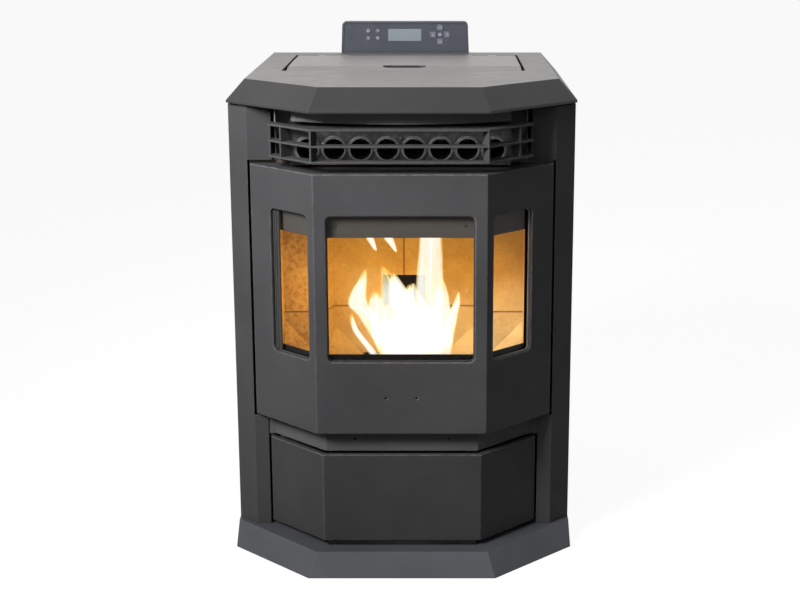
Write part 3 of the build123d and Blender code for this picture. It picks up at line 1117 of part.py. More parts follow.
SOCKET_RADIUS = 2.2           # hexagonal socket in the latch rod's foot
SOCKET_DEPTH = 8.0

rope_outer = RIM_HALF + ROPE_INSET + ROPE_WIDTH
rope_limits = (((-rope_outer, rope_outer),
                (RIM_BOTTOM - ROPE_INSET - ROPE_WIDTH, RIM_TOP + ROPE_INSET + ROPE_WIDTH)),
               ((-RIM_HALF - ROPE_INSET, RIM_HALF + ROPE_INSET),
                (RIM_BOTTOM - ROPE_INSET, RIM_TOP + ROPE_INSET)))


def ring_at(depth_range, rings):
    """Rectangular ring between two sets of x and z limits."""
    with BuildPart() as body:
        add(block(rings[0][0], depth_range, rings[0][1]))
        add(block(rings[1][0], shrink(depth_range, -1), rings[1][1]), mode=Mode.SUBTRACT)
    return body.part


with BuildPart() as door_frame:
    corner = [(DOOR_HALF, back(DOOR_BACK - EDGE_CHAMFER)), (DOOR_HALF - EDGE_CHAMFER, back(DOOR_BACK))]
    outline = bay_line(0, DOOR_HALF) + corner + [(-x, y) for x, y in corner[::-1]]
    add(prism(outline, DOOR_BOTTOM, DOOR_TOP))
    add(prism(bay_block(-DOOR_WALL, RIM_HALF, back(RIM_DEPTH)), DOOR_BOTTOM + DOOR_WALL,
              DOOR_TOP - DOOR_WALL),
        mode=Mode.SUBTRACT)
    add(block((-RIM_HALF, RIM_HALF), (back(RIM_DEPTH) - 1, back(DOOR_BACK) + 1), (RIM_BOTTOM, RIM_TOP)),
        mode=Mode.SUBTRACT)
    add(ring_at((back(DOOR_BACK - ROPE_GROOVE), back(DOOR_BACK + ROPE_GROOVE)), rope_limits),
        mode=Mode.SUBTRACT)
    window_height = WINDOW_TOP - WINDOW_BOTTOM
    window_middle = (WINDOW_TOP + WINDOW_BOTTOM) / 2
    with BuildSketch(front_plane(0)):
        with Locations((0, window_middle)):
            RectangleRounded(2 * WINDOW_HALF, window_height, WINDOW_RADIUS)
        with Locations((-DOOR_HOLE_X, DOOR_HOLE_Z), (DOOR_HOLE_X, DOOR_HOLE_Z)):
            Circle(SMALL_HOLE)
    extrude(amount=-DOOR_WALL - 1, mode=Mode.SUBTRACT)
    for side in SIDES:
        with BuildSketch(wing_plane(side, 0)):
            with Locations((side * (WING_WINDOW_START + WING_WINDOW_END) / 2, window_middle)):
                RectangleRounded(WING_WINDOW_END - WING_WINDOW_START, window_height, WINDOW_RADIUS)
        extrude(amount=-DOOR_WALL - 1, mode=Mode.SUBTRACT)
    for z in HINGE_ZS:
        span = (z - POCKET_GAP, z + BARREL_HEIGHT + POCKET_GAP)
        add(rod((AXIS_X, AXIS_Y, span[0]), (AXIS_X, AXIS_Y, span[1]), BARREL + POCKET_GAP),
            mode=Mode.SUBTRACT)
        add(block((AXIS_X - BARREL - POCKET_GAP, AXIS_X + BARREL + POCKET_GAP),
                  (AXIS_Y, back(DOOR_BACK) + 1), span),
            mode=Mode.SUBTRACT)
        add(block((-DOOR_HALF - 1, AXIS_X), (AXIS_Y - LEAF / 2 - POCKET_GAP, back(DOOR_BACK) + 1), span),
            mode=Mode.SUBTRACT)
        add(rod((AXIS_X, AXIS_Y, span[1]), (AXIS_X, AXIS_Y, span[1] + PIN_HEIGHT + 2), DOOR_PIN + RUNNING),
            mode=Mode.SUBTRACT)
    add(rod((LATCH_X, back(LATCH_DEPTH), LATCH_FOOT), (LATCH_X, back(LATCH_DEPTH), LATCH_TOP + 1),
            LATCH_ROD + RUNNING), mode=Mode.SUBTRACT)
    for z in LATCH_Z:
        half = KEEPER_HALF + 1.5
        add(rod((LATCH_X, back(LATCH_DEPTH), z - half), (LATCH_X, back(LATCH_DEPTH), z + half),
                FINGER_POCKET),
            mode=Mode.SUBTRACT)
        add(block((LATCH_X, LATCH_X + FINGER_POCKET), (back(KEEPER_FRONT) - 1, back(DOOR_BACK) + 1),
                  (z - half, z + half)), mode=Mode.SUBTRACT)
write(door_frame, "door_frame")

with BuildPart() as door_hinge_brackets:
    for z in HINGE_ZS:
        add(rod((AXIS_X, AXIS_Y, z), (AXIS_X, AXIS_Y, z + BARREL_HEIGHT), BARREL))
        add(rod((AXIS_X, AXIS_Y, z + BARREL_HEIGHT), (AXIS_X, AXIS_Y, z + BARREL_HEIGHT + PIN_HEIGHT),
                DOOR_PIN))
        add(block((AXIS_X - LEAF / 2, AXIS_X + LEAF / 2), (AXIS_Y, FACE_Y), (z, z + BARREL_HEIGHT)))
        add(block((-FACE_HALF, AXIS_X + LEAF / 2), (FACE_Y - HINGE_FOOT, FACE_Y), (z, z + BARREL_HEIGHT)))
write(door_hinge_brackets, "door_hinge_brackets")

with BuildPart() as latch_rod:
    add(rod((LATCH_X, back(LATCH_DEPTH), LATCH_FOOT), (LATCH_X, back(LATCH_DEPTH), LATCH_TOP), LATCH_ROD))
    with BuildSketch(Plane((LATCH_X, back(LATCH_DEPTH), LATCH_FOOT))):
        RegularPolygon(SOCKET_RADIUS, 6)
    extrude(amount=SOCKET_DEPTH, mode=Mode.SUBTRACT)
    for z in LATCH_Z:
        add(block((LATCH_X - FINGER_HALF, LATCH_X + FINGER_HALF),
                  (back(LATCH_DEPTH), back(LATCH_DEPTH) + FINGER_LENGTH),
                  (z - FINGER_HEIGHT / 2, z + FINGER_HEIGHT / 2)))
write(latch_rod, "latch_rod")

with BuildPart() as door_gasket:
    add(ring_at((back(DOOR_BACK - ROPE_GROOVE), FACE_Y - FREE_GAP), rope_limits))
    rear_edges = door_gasket.edges().filter_by(lambda edge: abs(edge.center().Y - (FACE_Y - FREE_GAP)) < 0.01)
    fillet(rear_edges, ROPE_ROUND)
write(door_gasket, "door_gasket")

PANE = 4.0
PANE_LAP = 8.0
PANE_ROPE = 3.0
PANE_FRONT = DOOR_WALL + PANE_ROPE
PANE_BACK = PANE_FRONT + PANE
RETAINER = 2.0
RETAINER_FOOT = 10.0          # how far the lower retainer edge stands above the window's edge
STRIP_END = 8.0               # ends of the strip inside the door's rear opening
AIR_STRIP_BOTTOM = 566.0
AIR_STRIP = 1.5
PANE_SCREW = 2.0

# each window: plane maker, middle x, half width, drawn-in edge towards the bend
PANES = [(front_plane, 0.0, WINDOW_HALF)]
wing_middle = (WING_WINDOW_START + WING_WINDOW_END) / 2
wing_half = (WING_WINDOW_END - WING_WINDOW_START) / 2
for side in SIDES:
    PANES.append((lambda depth, side=side: wing_plane(side, depth), side * wing_middle, wing_half))

with BuildPart() as door_glass:
    for plane_at, middle_x, half in PANES:
        with BuildSketch(plane_at(PANE_BACK)):
            with Locations((middle_x, window_middle)):
                Rectangle(2 * (half + PANE_LAP), window_height + 2 * PANE_LAP)
        extrude(amount=PANE)
write(door_glass, "door_glass")

with BuildPart() as glass_gaskets:
    for plane_at, middle_x, half in PANES:
        with BuildSketch(plane_at(PANE_FRONT)):
            with Locations((middle_x, window_middle)):
                Rectangle(2 * (half + PANE_LAP), window_height + 2 * PANE_LAP)
                RectangleRounded(2 * half + 1, window_height + 1, WINDOW_RADIUS, mode=Mode.SUBTRACT)
        extrude(amount=PANE_ROPE)
write(glass_gaskets, "glass_gaskets")

RETAINER_LAP = PANE_LAP + 10
SCREW_Z = (WINDOW_BOTTOM - PANE_LAP - 5, WINDOW_TOP + PANE_LAP + 5)
STRIP_FRONT = PANE_BACK + RETAINER


def pane_screws(middle_x, half):
    """Screw places of one retainer."""
    return [(middle_x + side * (half - 12), z) for side in SIDES for z in SCREW_Z]


with BuildPart() as glass_retainers:
    for plane_at, middle_x, half in PANES:
        with BuildSketch(plane_at(PANE_BACK + RETAINER)):
            with Locations((middle_x, window_middle)):
                Rectangle(2 * (half + PANE_LAP), window_height + 2 * RETAINER_LAP)
            opening = (WINDOW_BOTTOM + RETAINER_FOOT, WINDOW_TOP)
            with Locations((middle_x, sum(opening) / 2)):
                Rectangle(2 * half - 4, opening[1] - opening[0], mode=Mode.SUBTRACT)
            with Locations(*pane_screws(middle_x, half)):
                Circle(PANE_SCREW + HOLE_GAP, mode=Mode.SUBTRACT)
        extrude(amount=RETAINER)
write(glass_retainers, "glass_retainers")

with BuildPart() as air_wash_strip:
    strip = bay_band(-STRIP_FRONT, -STRIP_FRONT - AIR_STRIP, RIM_HALF - STRIP_END)
    add(prism(strip, AIR_STRIP_BOTTOM, WINDOW_TOP + RETAINER_LAP))
    for plane_at, middle_x, half in PANES:
        with BuildSketch(plane_at(STRIP_FRONT)):
            with Locations(*pane_screws(middle_x, half)):
                Circle(PANE_SCREW + HOLE_GAP)
        extrude(amount=-AIR_STRIP - HOLE_GAP, mode=Mode.SUBTRACT)
write(air_wash_strip, "air_wash_strip")

with BuildPart() as retainer_screws:
    for plane_at, middle_x, half in PANES:
        for x, z in pane_screws(middle_x, half):
            seat = STRIP_FRONT + (AIR_STRIP if z > WINDOW_TOP else 0)
            with BuildSketch(plane_at(DOOR_WALL)):
                with Locations((x, z)):
                    Circle(PANE_SCREW)
            extrude(amount=DOOR_WALL - seat)
            with BuildSketch(plane_at(seat)):
                with Locations((x, z)):
                    Circle(2 * PANE_SCREW)
            extrude(amount=-PANE_SCREW)
write(retainer_screws, "retainer_screws")

# ---------------------------------------------------------------- ash drawer
ASH_OFFSET = -18.0
ASH_SHEET = 2.5
ASH_BOTTOM = 45.0
ASH_TOP = 197.3
ASH_HALF = LOWER_FLANGE_HALF - 4.2
ASH_LIP = 10.0
PAN_BACK = FIREBOX_BACK - 22
PAN_BOTTOM = BASE_TOP + 1
PAN_TOP = 150.0
PAN_WALL = 1.5

with BuildPart() as ash_drawer_front:
    add(prism(bay_band(ASH_OFFSET, ASH_OFFSET - ASH_SHEET, ASH_HALF), ASH_BOTTOM, ASH_TOP))
    add(prism(bay_band(ASH_OFFSET, ASH_OFFSET - ASH_LIP, ASH_HALF), ASH_TOP - ASH_SHEET, ASH_TOP))
write(ash_drawer_front, "ash_drawer_front")

with BuildPart() as ash_pan:
    pan_front = back(-ASH_OFFSET + ASH_SHEET)
    add(block((-DRAWER_HALF, DRAWER_HALF), (pan_front, back(PAN_BACK)), (PAN_BOTTOM, PAN_TOP)))
    add(block((-DRAWER_HALF + PAN_WALL, DRAWER_HALF - PAN_WALL),
              (pan_front + PAN_WALL, back(PAN_BACK) - PAN_WALL),
              (PAN_BOTTOM + PAN_WALL, PAN_TOP + 1)), mode=Mode.SUBTRACT)
write(ash_pan, "ash_pan")

# ---------------------------------------------------------------- control panel
CONTROL_BOTTOM = TOP_FACE
CONTROL_BACK = CABINET_DEPTH
CONTROL_DEPTH = 22.0
CONTROL_X = -4.0              # middle of the panel
CONTROL_FLARE = 2.5           # the panel is this much wider on each side at its foot
CONTROL_CORNER = 8.0
BEZEL = 4.0
FACEPLATE = 2.5
HOUSING_WALL = 2.0
DISPLAY_X = -5.0
DISPLAY_Z = TOP_FACE + 35.5
DISPLAY_SIZE = (64.0, 23.0)
DISPLAY_ROUND = 1.5
DISPLAY_SUNK = 0.5            # display window behind the face plate's front
KEY_RADIUS = 4.6
KEY_TRAVEL = 0.8
KEY_PROUD = 1.2
KEY_GAP = 0.3
KEY_ROUND = 0.5
ROUND_KEYS = [(x, TOP_FACE + z) for z in (43.5, 29.5) for x in (-75.1, -56.7)]
PAD_CENTRE = (63.4, TOP_FACE + 36.3)
PAD_REACH = 13.5
ARROW_HALF = 6.0
ARROW_ROUND = 1.7
ARROW_KEYS = [("up", 0, 1), ("right", 1, 0), ("down", 0, -1), ("left", -1, 0)]
control_front = CONTROL_BACK - CONTROL_DEPTH
control_middle = CONTROL_BOTTOM + CONTROL_HEIGHT / 2


def panel_outline(inset, bottom_inset):
    """Front outline of the control panel, wider at its foot, with its two upper corners rounded."""
    top_half = CONTROL_WIDTH / 2 - inset
    foot_half = top_half + CONTROL_FLARE
    top = CONTROL_BOTTOM + CONTROL_HEIGHT - inset
    bottom = CONTROL_BOTTOM + bottom_inset
    corners = [(-foot_half, bottom), (foot_half, bottom), (top_half, top), (-top_half, top)]
    with BuildSketch() as outline:
        with BuildLine():
            Polyline(*[(CONTROL_X + x, z) for x, z in corners], close=True)
        make_face()
        fillet(outline.vertices().group_by(Axis.Y)[-1], CONTROL_CORNER - inset / 2)
    return outline.sketch


with BuildPart() as control_housing:
    with BuildSketch(front_plane(CONTROL_BACK)):
        add(panel_outline(0, 0))
    extrude(amount=CONTROL_DEPTH)
    with BuildSketch(front_plane(CONTROL_BACK - HOUSING_WALL)):
        add(panel_outline(HOUSING_WALL, HOUSING_WALL))
    extrude(amount=CONTROL_DEPTH - HOUSING_WALL - FACEPLATE - 1)
    with BuildSketch(front_plane(CONTROL_BACK - HOUSING_WALL)):
        add(panel_outline(BEZEL, BEZEL))
    extrude(amount=CONTROL_DEPTH, mode=Mode.SUBTRACT)
write(control_housing, "control_housing")

face_depth = control_front + 1
with BuildPart() as control_faceplate:
    with BuildSketch(front_plane(face_depth + FACEPLATE)):
        add(panel_outline(BEZEL + HOLE_GAP, BEZEL + HOLE_GAP))
        with Locations((DISPLAY_X, DISPLAY_Z)):
            RectangleRounded(DISPLAY_SIZE[0] + 2 * HOLE_GAP, DISPLAY_SIZE[1] + 2 * HOLE_GAP, DISPLAY_ROUND,
                             mode=Mode.SUBTRACT)
        with Locations(*ROUND_KEYS, PAD_CENTRE):
            Circle(KEY_RADIUS + KEY_GAP, mode=Mode.SUBTRACT)
        with Locations(*[(PAD_CENTRE[0] + x * PAD_REACH, PAD_CENTRE[1] + z * PAD_REACH) for _, x,
                         z in ARROW_KEYS]):
            RectangleRounded(2 * (ARROW_HALF + KEY_GAP), 2 * (ARROW_HALF + KEY_GAP), ARROW_ROUND + KEY_GAP,
                             mode=Mode.SUBTRACT)
    extrude(amount=FACEPLATE)
write(control_faceplate, "control_faceplate")

with BuildPart() as display_window:
    with BuildSketch(front_plane(face_depth + FACEPLATE)):
        with Locations((DISPLAY_X, DISPLAY_Z)):
            RectangleRounded(*DISPLAY_SIZE, DISPLAY_ROUND - HOLE_GAP)
    extrude(amount=FACEPLATE - DISPLAY_SUNK)
write(display_window, "display_window")

KEY_FLANGE = 0.8              # thickness of a key's flange, and how far it stands out round the key
KEY_BACK = face_depth + FACEPLATE + HOLE_GAP + KEY_FLANGE
BOARD_FRONT = KEY_BACK + KEY_TRAVEL + 1.2
BOARD = 1.6
BOARD_POSTS = (95.0, 16.0)    # x and height of the posts from the panel's middle
POST_RADIUS = 3.0
with BuildPart() as control_board:
    with BuildSketch(front_plane(BOARD_FRONT + BOARD)):
        with Locations((CONTROL_X, control_middle)):
            Rectangle(CONTROL_WIDTH - 4 * BEZEL, CONTROL_HEIGHT - 4 * BEZEL)
    extrude(amount=BOARD)
    for x in (CONTROL_X - BOARD_POSTS[0], CONTROL_X + BOARD_POSTS[0]):
        for z in (control_middle - BOARD_POSTS[1], control_middle + BOARD_POSTS[1]):
            add(rod((x, back(BOARD_FRONT + BOARD), z), (x, back(CONTROL_BACK - HOUSING_WALL), z),
                    POST_RADIUS))
write(control_board, "control_board")


def key(name, place, outline):
    """Key with a flange behind the face plate, so that it can't fall out."""
    with BuildPart() as piece:
        with BuildSketch(front_plane(KEY_BACK)):
            with Locations(place):
                add(outline)
        extrude(amount=KEY_BACK - face_depth + KEY_PROUD)
        fillet(piece.faces().sort_by(Axis.Y)[0].edges(), KEY_ROUND)
        with BuildSketch(front_plane(KEY_BACK)):
            with Locations(place):
                add(outline)
            offset(amount=KEY_FLANGE)
        extrude(amount=KEY_FLANGE)
    write(piece, name)


with BuildSketch() as round_outline:
    Circle(KEY_RADIUS)
with BuildSketch() as arrow_outline:
    RectangleRounded(2 * ARROW_HALF, 2 * ARROW_HALF, ARROW_ROUND)

for index, place in enumerate(ROUND_KEYS):
    key(f"key_round_{index + 1}", place, round_outline.sketch)
for name, x, z in ARROW_KEYS:
    key(f"key_{name}", (PAD_CENTRE[0] + x * PAD_REACH, PAD_CENTRE[1] + z * PAD_REACH), arrow_outline.sketch)
key("key_centre", PAD_CENTRE, round_outline.sketch)
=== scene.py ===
import math
import random

import bmesh
import bpy
import numpy as np
from mathutils import Matrix, Vector


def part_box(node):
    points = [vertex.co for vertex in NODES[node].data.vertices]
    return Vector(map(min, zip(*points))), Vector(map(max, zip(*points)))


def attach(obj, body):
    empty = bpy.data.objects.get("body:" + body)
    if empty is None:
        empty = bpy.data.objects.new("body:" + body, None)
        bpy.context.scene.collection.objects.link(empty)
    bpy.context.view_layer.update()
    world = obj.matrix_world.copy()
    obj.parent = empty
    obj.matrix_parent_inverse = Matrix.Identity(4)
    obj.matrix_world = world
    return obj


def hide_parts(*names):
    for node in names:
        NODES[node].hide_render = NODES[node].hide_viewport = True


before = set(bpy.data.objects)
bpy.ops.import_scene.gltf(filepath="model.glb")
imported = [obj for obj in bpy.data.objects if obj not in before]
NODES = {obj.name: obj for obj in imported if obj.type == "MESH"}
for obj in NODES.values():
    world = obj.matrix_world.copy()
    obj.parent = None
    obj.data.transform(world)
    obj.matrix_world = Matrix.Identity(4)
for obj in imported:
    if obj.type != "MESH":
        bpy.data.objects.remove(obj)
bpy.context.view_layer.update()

DOOR_Y = -0.326                     # y of the door's front face

# millimetres, as in the solids
BEND_X = 139                        # half width of the door's front facet
FRONT_PANE_HALF = 119.5
WING_PANE_MIDDLE = 61.15            # from the bend, along the wing
WING_PANE_HALF = 46.35
PANE_ROPE_Z = (362.4, 603.2)
TUBE_COUNT = 8
TUBE_PITCH = 43
TUBE_Z = 702
# metres, as the shaders read them
BRICK_JOINT_LOW = 0.396
BRICK_JOINT_HIGH = 0.520
BRICK_JOINT_HALF = 0.0013
BACK_BRICK_HALF = 0.1235
FIREBOX_HALF = 0.2072


def at(x, depth, z):
    """Point from millimetres: x, distance behind the door's front face, height."""
    return Vector((x / 1000, DOOR_Y + depth / 1000, z / 1000))


# ---------------------------------------------------------------- shader helpers
def new_material(name):
    material = bpy.data.materials.new(name)
    material.use_nodes = True
    material.node_tree.nodes.clear()
    return material, material.node_tree


def node(tree, kind, inputs=None, **settings):
    """A shader node. An input that is a socket is linked, and any other is set."""
    made = tree.nodes.new("ShaderNode" + kind)
    for key, value in settings.items():
        setattr(made, key, value)
    for key, value in (inputs or {}).items():
        socket = made.inputs[key]
        if isinstance(value, bpy.types.NodeSocket):
            tree.links.new(value, socket)
        else:
            if socket.type == "RGBA" and len(value) == 3:
                value = (*value, 1)
            socket.default_value = value
    return made


def place(tree, scale=(1, 1, 1), turn=(0, 0, 0)):
    """Object coordinates, stretched and turned."""
    where = node(tree, "TexCoord").outputs["Object"]
    return node(tree, "Mapping", {"Vector": where, "Scale": scale, "Rotation": turn}).outputs[0]


def noise(tree, vector, scale, detail=3.0, rough=0.55):
    return node(tree, "TexNoise", {"Vector": vector, "Scale": scale, "Detail": detail,
                                   "Roughness": rough}).outputs[0]


def ramp(tree, value, stops):
    made = node(tree, "ValToRGB", {0: value})
    elements = made.color_ramp.elements
    while len(elements) < len(stops):
        elements.new(0.5)
    for element, (position, colour) in zip(elements, stops):
        element.position = position
        element.color = (*colour, 1)
    return made.outputs[0]


def grey(value):
    return (value, value, value)


def tint(colour, factor):
    return tuple(min(1, c * factor) for c in colour)


def mix(tree, factor, a, b):
    made = node(tree, "Mix", data_type="RGBA")
    for index, value in ((0, factor), (6, a), (7, b)):
        if isinstance(value, bpy.types.NodeSocket):
            tree.links.new(value, made.inputs[index])
        else:
            made.inputs[index].default_value = (*value, 1) if index else value
    return made.outputs[2]


def maths(tree, operation, a, b=0.0, clamp=False):
    made = node(tree, "Math", {0: a, 1: b}, operation=operation)
    made.use_clamp = clamp
    return made.outputs[0]


def bump(tree, height, strength, distance, normal=None):
    inputs = {"Height": height, "Strength": strength, "Distance": distance}
    if normal is not None:
        inputs["Normal"] = normal
    return node(tree, "Bump", inputs).outputs[0]


def edges(tree, radius):
    """Rounded normal, and a mask that is 1 on sharp edges."""
    rounded = node(tree, "Bevel", {"Radius": radius}, samples=6).outputs[0]
    flat = node(tree, "NewGeometry").outputs["Normal"]
    dot = node(tree, "VectorMath", {0: rounded, 1: flat}, operation="DOT_PRODUCT").outputs["Value"]
    return rounded, maths(tree, "MULTIPLY", maths(tree, "SUBTRACT", 1.0, dot), 7.0, clamp=True)


def finish_shader(tree, inputs):
    shader = node(tree, "BsdfPrincipled", inputs)
    node(tree, "OutputMaterial", {"Surface": shader.outputs[0]})


# ---------------------------------------------------------------- materials
def paint(name, colour, rough=0.54, grain=1.0, edge=1.8, level=0.06, radius=0.0022, upper=None):
    """Satin powder coat: fine grain, faint unevenness, lighter edges that are partly wear and partly painted
    highlight and, if upper is given, painted sheen: faces that point straight up are painted paler, standing in for
    light from above.
    """
    material, tree = new_material(name)
    where = place(tree)
    cloud = noise(tree, where, 7.0, 4.0)
    base = ramp(tree, cloud, [(0.3, tint(colour, 0.88)), (0.7, tint(colour, 1.12))])
    # painted sheen: level top faces take the paler upper colour, as the light from above would make them look
    if upper:
        painted_top_sheen = ramp(tree, cloud, [(0.3, tint(upper, 0.92)), (0.7, tint(upper, 1.08))])
        rise = node(tree, "SeparateXYZ", {0: node(tree, "TexCoord").outputs["Normal"]}).outputs[2]
        top_sheen_mask = node(tree, "MapRange", {"Value": rise, "From Min": 0.990, "From Max": 0.999}).outputs[0]
        base = mix(tree, top_sheen_mask, base, painted_top_sheen)
    # lighter edges: partly wear, partly a painted highlight along bends and lips
    normal, mask = edges(tree, radius)
    scratch = noise(tree, where, 90.0, 3.0)
    edge_wear_and_highlight = maths(tree, "MULTIPLY", mask, ramp(tree, scratch, [(0.35, grey(0.25)), (0.62, grey(1))]))
    base = mix(tree, edge_wear_and_highlight, base, tint(colour, edge))
    fine = noise(tree, where, 1500.0, 2.0)
    wave = noise(tree, where, 9.0, 1.0)
    normal = bump(tree, wave, 0.10, 0.004, normal)
    normal = bump(tree, fine, 0.16 * grain, 0.0003, normal)
    roughness = ramp(tree, noise(tree, where, 34.0, 5.0), [(0.25, grey(rough - 0.05)), (0.75, grey(rough + 0.06))])
    finish_shader(tree, {"Base Color": base, "Roughness": roughness, "Specular IOR Level": level, "Normal": normal})
    return material


def sheet_metal(name, colour, rough=0.35, spangle=0.0, streak=(1, 1, 1), stain=0.0, stain_colour=(0.08, 0.05, 0.03)):
    """Bare metal: spangle or brushed streaks, and heat or soot stains."""
    material, tree = new_material(name)
    where = place(tree)
    brushed = noise(tree, place(tree, streak), 260.0, 4.0, 0.6)
    base = ramp(tree, brushed, [(0.3, tint(colour, 0.8)), (0.7, tint(colour, 1.15))])
    if spangle:
        cells = node(tree, "TexVoronoi", {"Vector": where, "Scale": spangle}).outputs["Color"]
        base = mix(tree, 0.22, base, cells)
        base = mix(tree, 0.55, base, colour)
    patches = ramp(tree, noise(tree, where, 11.0, 5.0, 0.6), [(0.42, grey(0)), (0.68, grey(1))])
    base = mix(tree, maths(tree, "MULTIPLY", patches, stain), base, stain_colour)
    normal, mask = edges(tree, 0.0008)
    base = mix(tree, maths(tree, "MULTIPLY", mask, 0.6), base, tint(colour, 1.5))
    roughness = ramp(tree, noise(tree, where, 60.0, 4.0), [(0.3, grey(rough - 0.08)), (0.7, grey(rough + 0.14))])
    normal = bump(tree, brushed, 0.12, 0.0004, normal)
    metal = maths(tree, "SUBTRACT", 1.0, maths(tree, "MULTIPLY", patches, stain * 0.7))
    finish_shader(tree, {"Base Color": base, "Metallic": metal, "Roughness": roughness, "Normal": normal})
    return material


def rough_mass(name, stops, scale, depth, rough=0.85, speck=None, metallic=0.0):
    """Cast iron, brick, ash or wood: layered noise for colour and relief."""
    material, tree = new_material(name)
    where = place(tree)
    body = noise(tree, where, scale, 7.0, 0.62)
    base = ramp(tree, body, stops)
    if speck:
        dots = ramp(tree, noise(tree, where, scale * 6, 2.0), [(0.62, grey(0)), (0.68, grey(1))])
        base = mix(tree, dots, base, speck)
    normal, _ = edges(tree, 0.001)
    normal = bump(tree, body, 0.7, depth, normal)
    normal = bump(tree, noise(tree, where, scale * 9, 3.0), 0.35, depth / 4, normal)
    finish_shader(tree, {"Base Color": base, "Roughness": rough, "Metallic": metallic, "Normal": normal,
                         "Specular IOR Level": 0.25})
    return material


def plastic(name, colour, rough, grain_scale=2200.0, grain=0.18):
    """Moulded plastic with a fine erosion texture and slightly lighter edges."""
    material, tree = new_material(name)
    where = place(tree)
    base = ramp(tree, noise(tree, where, 20.0, 3.0), [(0.3, tint(colour, 0.93)), (0.7, tint(colour, 1.07))])
    normal, mask = edges(tree, 0.0006)
    base = mix(tree, maths(tree, "MULTIPLY", mask, 0.5), base, tint(colour, 1.6))
    normal = bump(tree, noise(tree, where, grain_scale, 2.0), grain, 0.0002, normal)
    roughness = ramp(tree, noise(tree, where, 45.0, 3.0), [(0.3, grey(rough - 0.04)), (0.7, grey(rough + 0.05))])
    finish_shader(tree, {"Base Color": base, "Roughness": roughness, "Normal": normal})
    return material


def stripe(tree, value, middle, half):
    """1 within this distance of a place, and 0 outside."""
    away = maths(tree, "ABSOLUTE", maths(tree, "SUBTRACT", value, middle))
    return node(tree, "MapRange", {"Value": away, "From Min": half + 0.0004, "From Max": half}).outputs[0]


def firebrick():
    """Refractory board: sandy ground, brown mottles, dark joints and soot towards the top."""
    material, tree = new_material("firebrick")
    where = place(tree)
    parts = node(tree, "SeparateXYZ", {0: where})
    aside = maths(tree, "ABSOLUTE", parts.outputs[0])
    height = parts.outputs[2]
    body = noise(tree, where, 22.0, 6.0, 0.55)
    base = ramp(tree, body, [(0.25, (0.52, 0.37, 0.16)), (0.5, (0.62, 0.49, 0.24)), (0.78, (0.72, 0.58, 0.31))])
    mottle = ramp(tree, noise(tree, where, 120.0, 5.0, 0.65), [(0.47, grey(0)), (0.60, grey(1))])
    amount = node(tree, "MapRange", {"Value": parts.outputs[0], "From Min": -0.10, "From Max": -0.19,
                                     "To Min": 0.10, "To Max": 0.7}).outputs[0]
    base = mix(tree, maths(tree, "MULTIPLY", mottle, amount), base, (0.36, 0.19, 0.07))
    dark = ramp(tree, noise(tree, where, 210.0, 3.0), [(0.62, grey(0)), (0.68, grey(1))])
    base = mix(tree, maths(tree, "MULTIPLY", dark, 0.3), base, (0.24, 0.13, 0.06))
    pale = ramp(tree, noise(tree, where, 150.0, 2.0), [(0.64, grey(0)), (0.70, grey(1))])
    base = mix(tree, maths(tree, "MULTIPLY", pale, 0.3), base, (0.86, 0.74, 0.46))
    middle = maths(tree, "LESS_THAN", aside, BACK_BRICK_HALF)
    lower = stripe(tree, height, BRICK_JOINT_LOW, BRICK_JOINT_HALF)
    lower = maths(tree, "MULTIPLY", lower, maths(tree, "LESS_THAN", aside, FIREBOX_HALF))
    upper = maths(tree, "MULTIPLY", stripe(tree, height, BRICK_JOINT_HIGH, BRICK_JOINT_HALF), middle)
    centre = maths(tree, "MULTIPLY", stripe(tree, aside, 0.0, BRICK_JOINT_HALF),
                   maths(tree, "LESS_THAN", height, BRICK_JOINT_HIGH))
    groove = maths(tree, "MAXIMUM", maths(tree, "MAXIMUM", lower, upper), centre)
    base = mix(tree, maths(tree, "MULTIPLY", groove, 0.6), base, (0.20, 0.10, 0.04))
    high = node(tree, "MapRange", {"Value": height, "From Min": 0.58, "From Max": 0.67}).outputs[0]
    soot = maths(tree, "MULTIPLY", high, ramp(tree, noise(tree, where, 9.0, 5.0), [(0.2, grey(0.3)), (0.8, grey(1))]))
    base = mix(tree, maths(tree, "MULTIPLY", soot, 0.7), base, (0.05, 0.04, 0.035))
    normal, _ = edges(tree, 0.0012)
    normal = bump(tree, body, 0.5, 0.0016, normal)
    normal = bump(tree, noise(tree, where, 420.0, 3.0), 0.4, 0.0005, normal)
    finish_shader(tree, {"Base Color": base, "Roughness": 0.92, "Normal": normal, "Specular IOR Level": 0.15})
    return material


def glass():
    """Ceramic glass: clear, hazy at the foot, with a faint gloss and no shadow of its own."""
    material, tree = new_material("ceramic_glass")
    where = place(tree)
    haze = noise(tree, where, 13.0, 5.0)
    height = node(tree, "SeparateXYZ", {0: where}).outputs[2]
    foot = node(tree, "MapRange", {"Value": height, "From Min": 0.395, "From Max": 0.362}).outputs[0]
    clear = mix(tree, maths(tree, "MULTIPLY", foot, haze), (0.98, 0.975, 0.965), (0.72, 0.69, 0.65))
    through = node(tree, "BsdfTransparent", {"Color": clear})
    smudge = ramp(tree, haze, [(0.3, grey(0.02)), (0.8, grey(0.09))])
    shine = node(tree, "BsdfGlossy", {"Color": (1, 1, 1), "Roughness": smudge})
    amount = node(tree, "Fresnel", {"IOR": 1.2}).outputs[0]
    shadow = node(tree, "LightPath").outputs["Is Shadow Ray"]
    inside = node(tree, "NewGeometry").outputs["Backfacing"]
    unseen = maths(tree, "MAXIMUM", shadow, inside)
    amount = maths(tree, "MULTIPLY", amount, maths(tree, "SUBTRACT", 1.0, unseen))
    mixed = node(tree, "MixShader", {0: amount, 1: through.outputs[0], 2: shine.outputs[0]})
    node(tree, "OutputMaterial", {"Surface": mixed.outputs[0]})
    return material


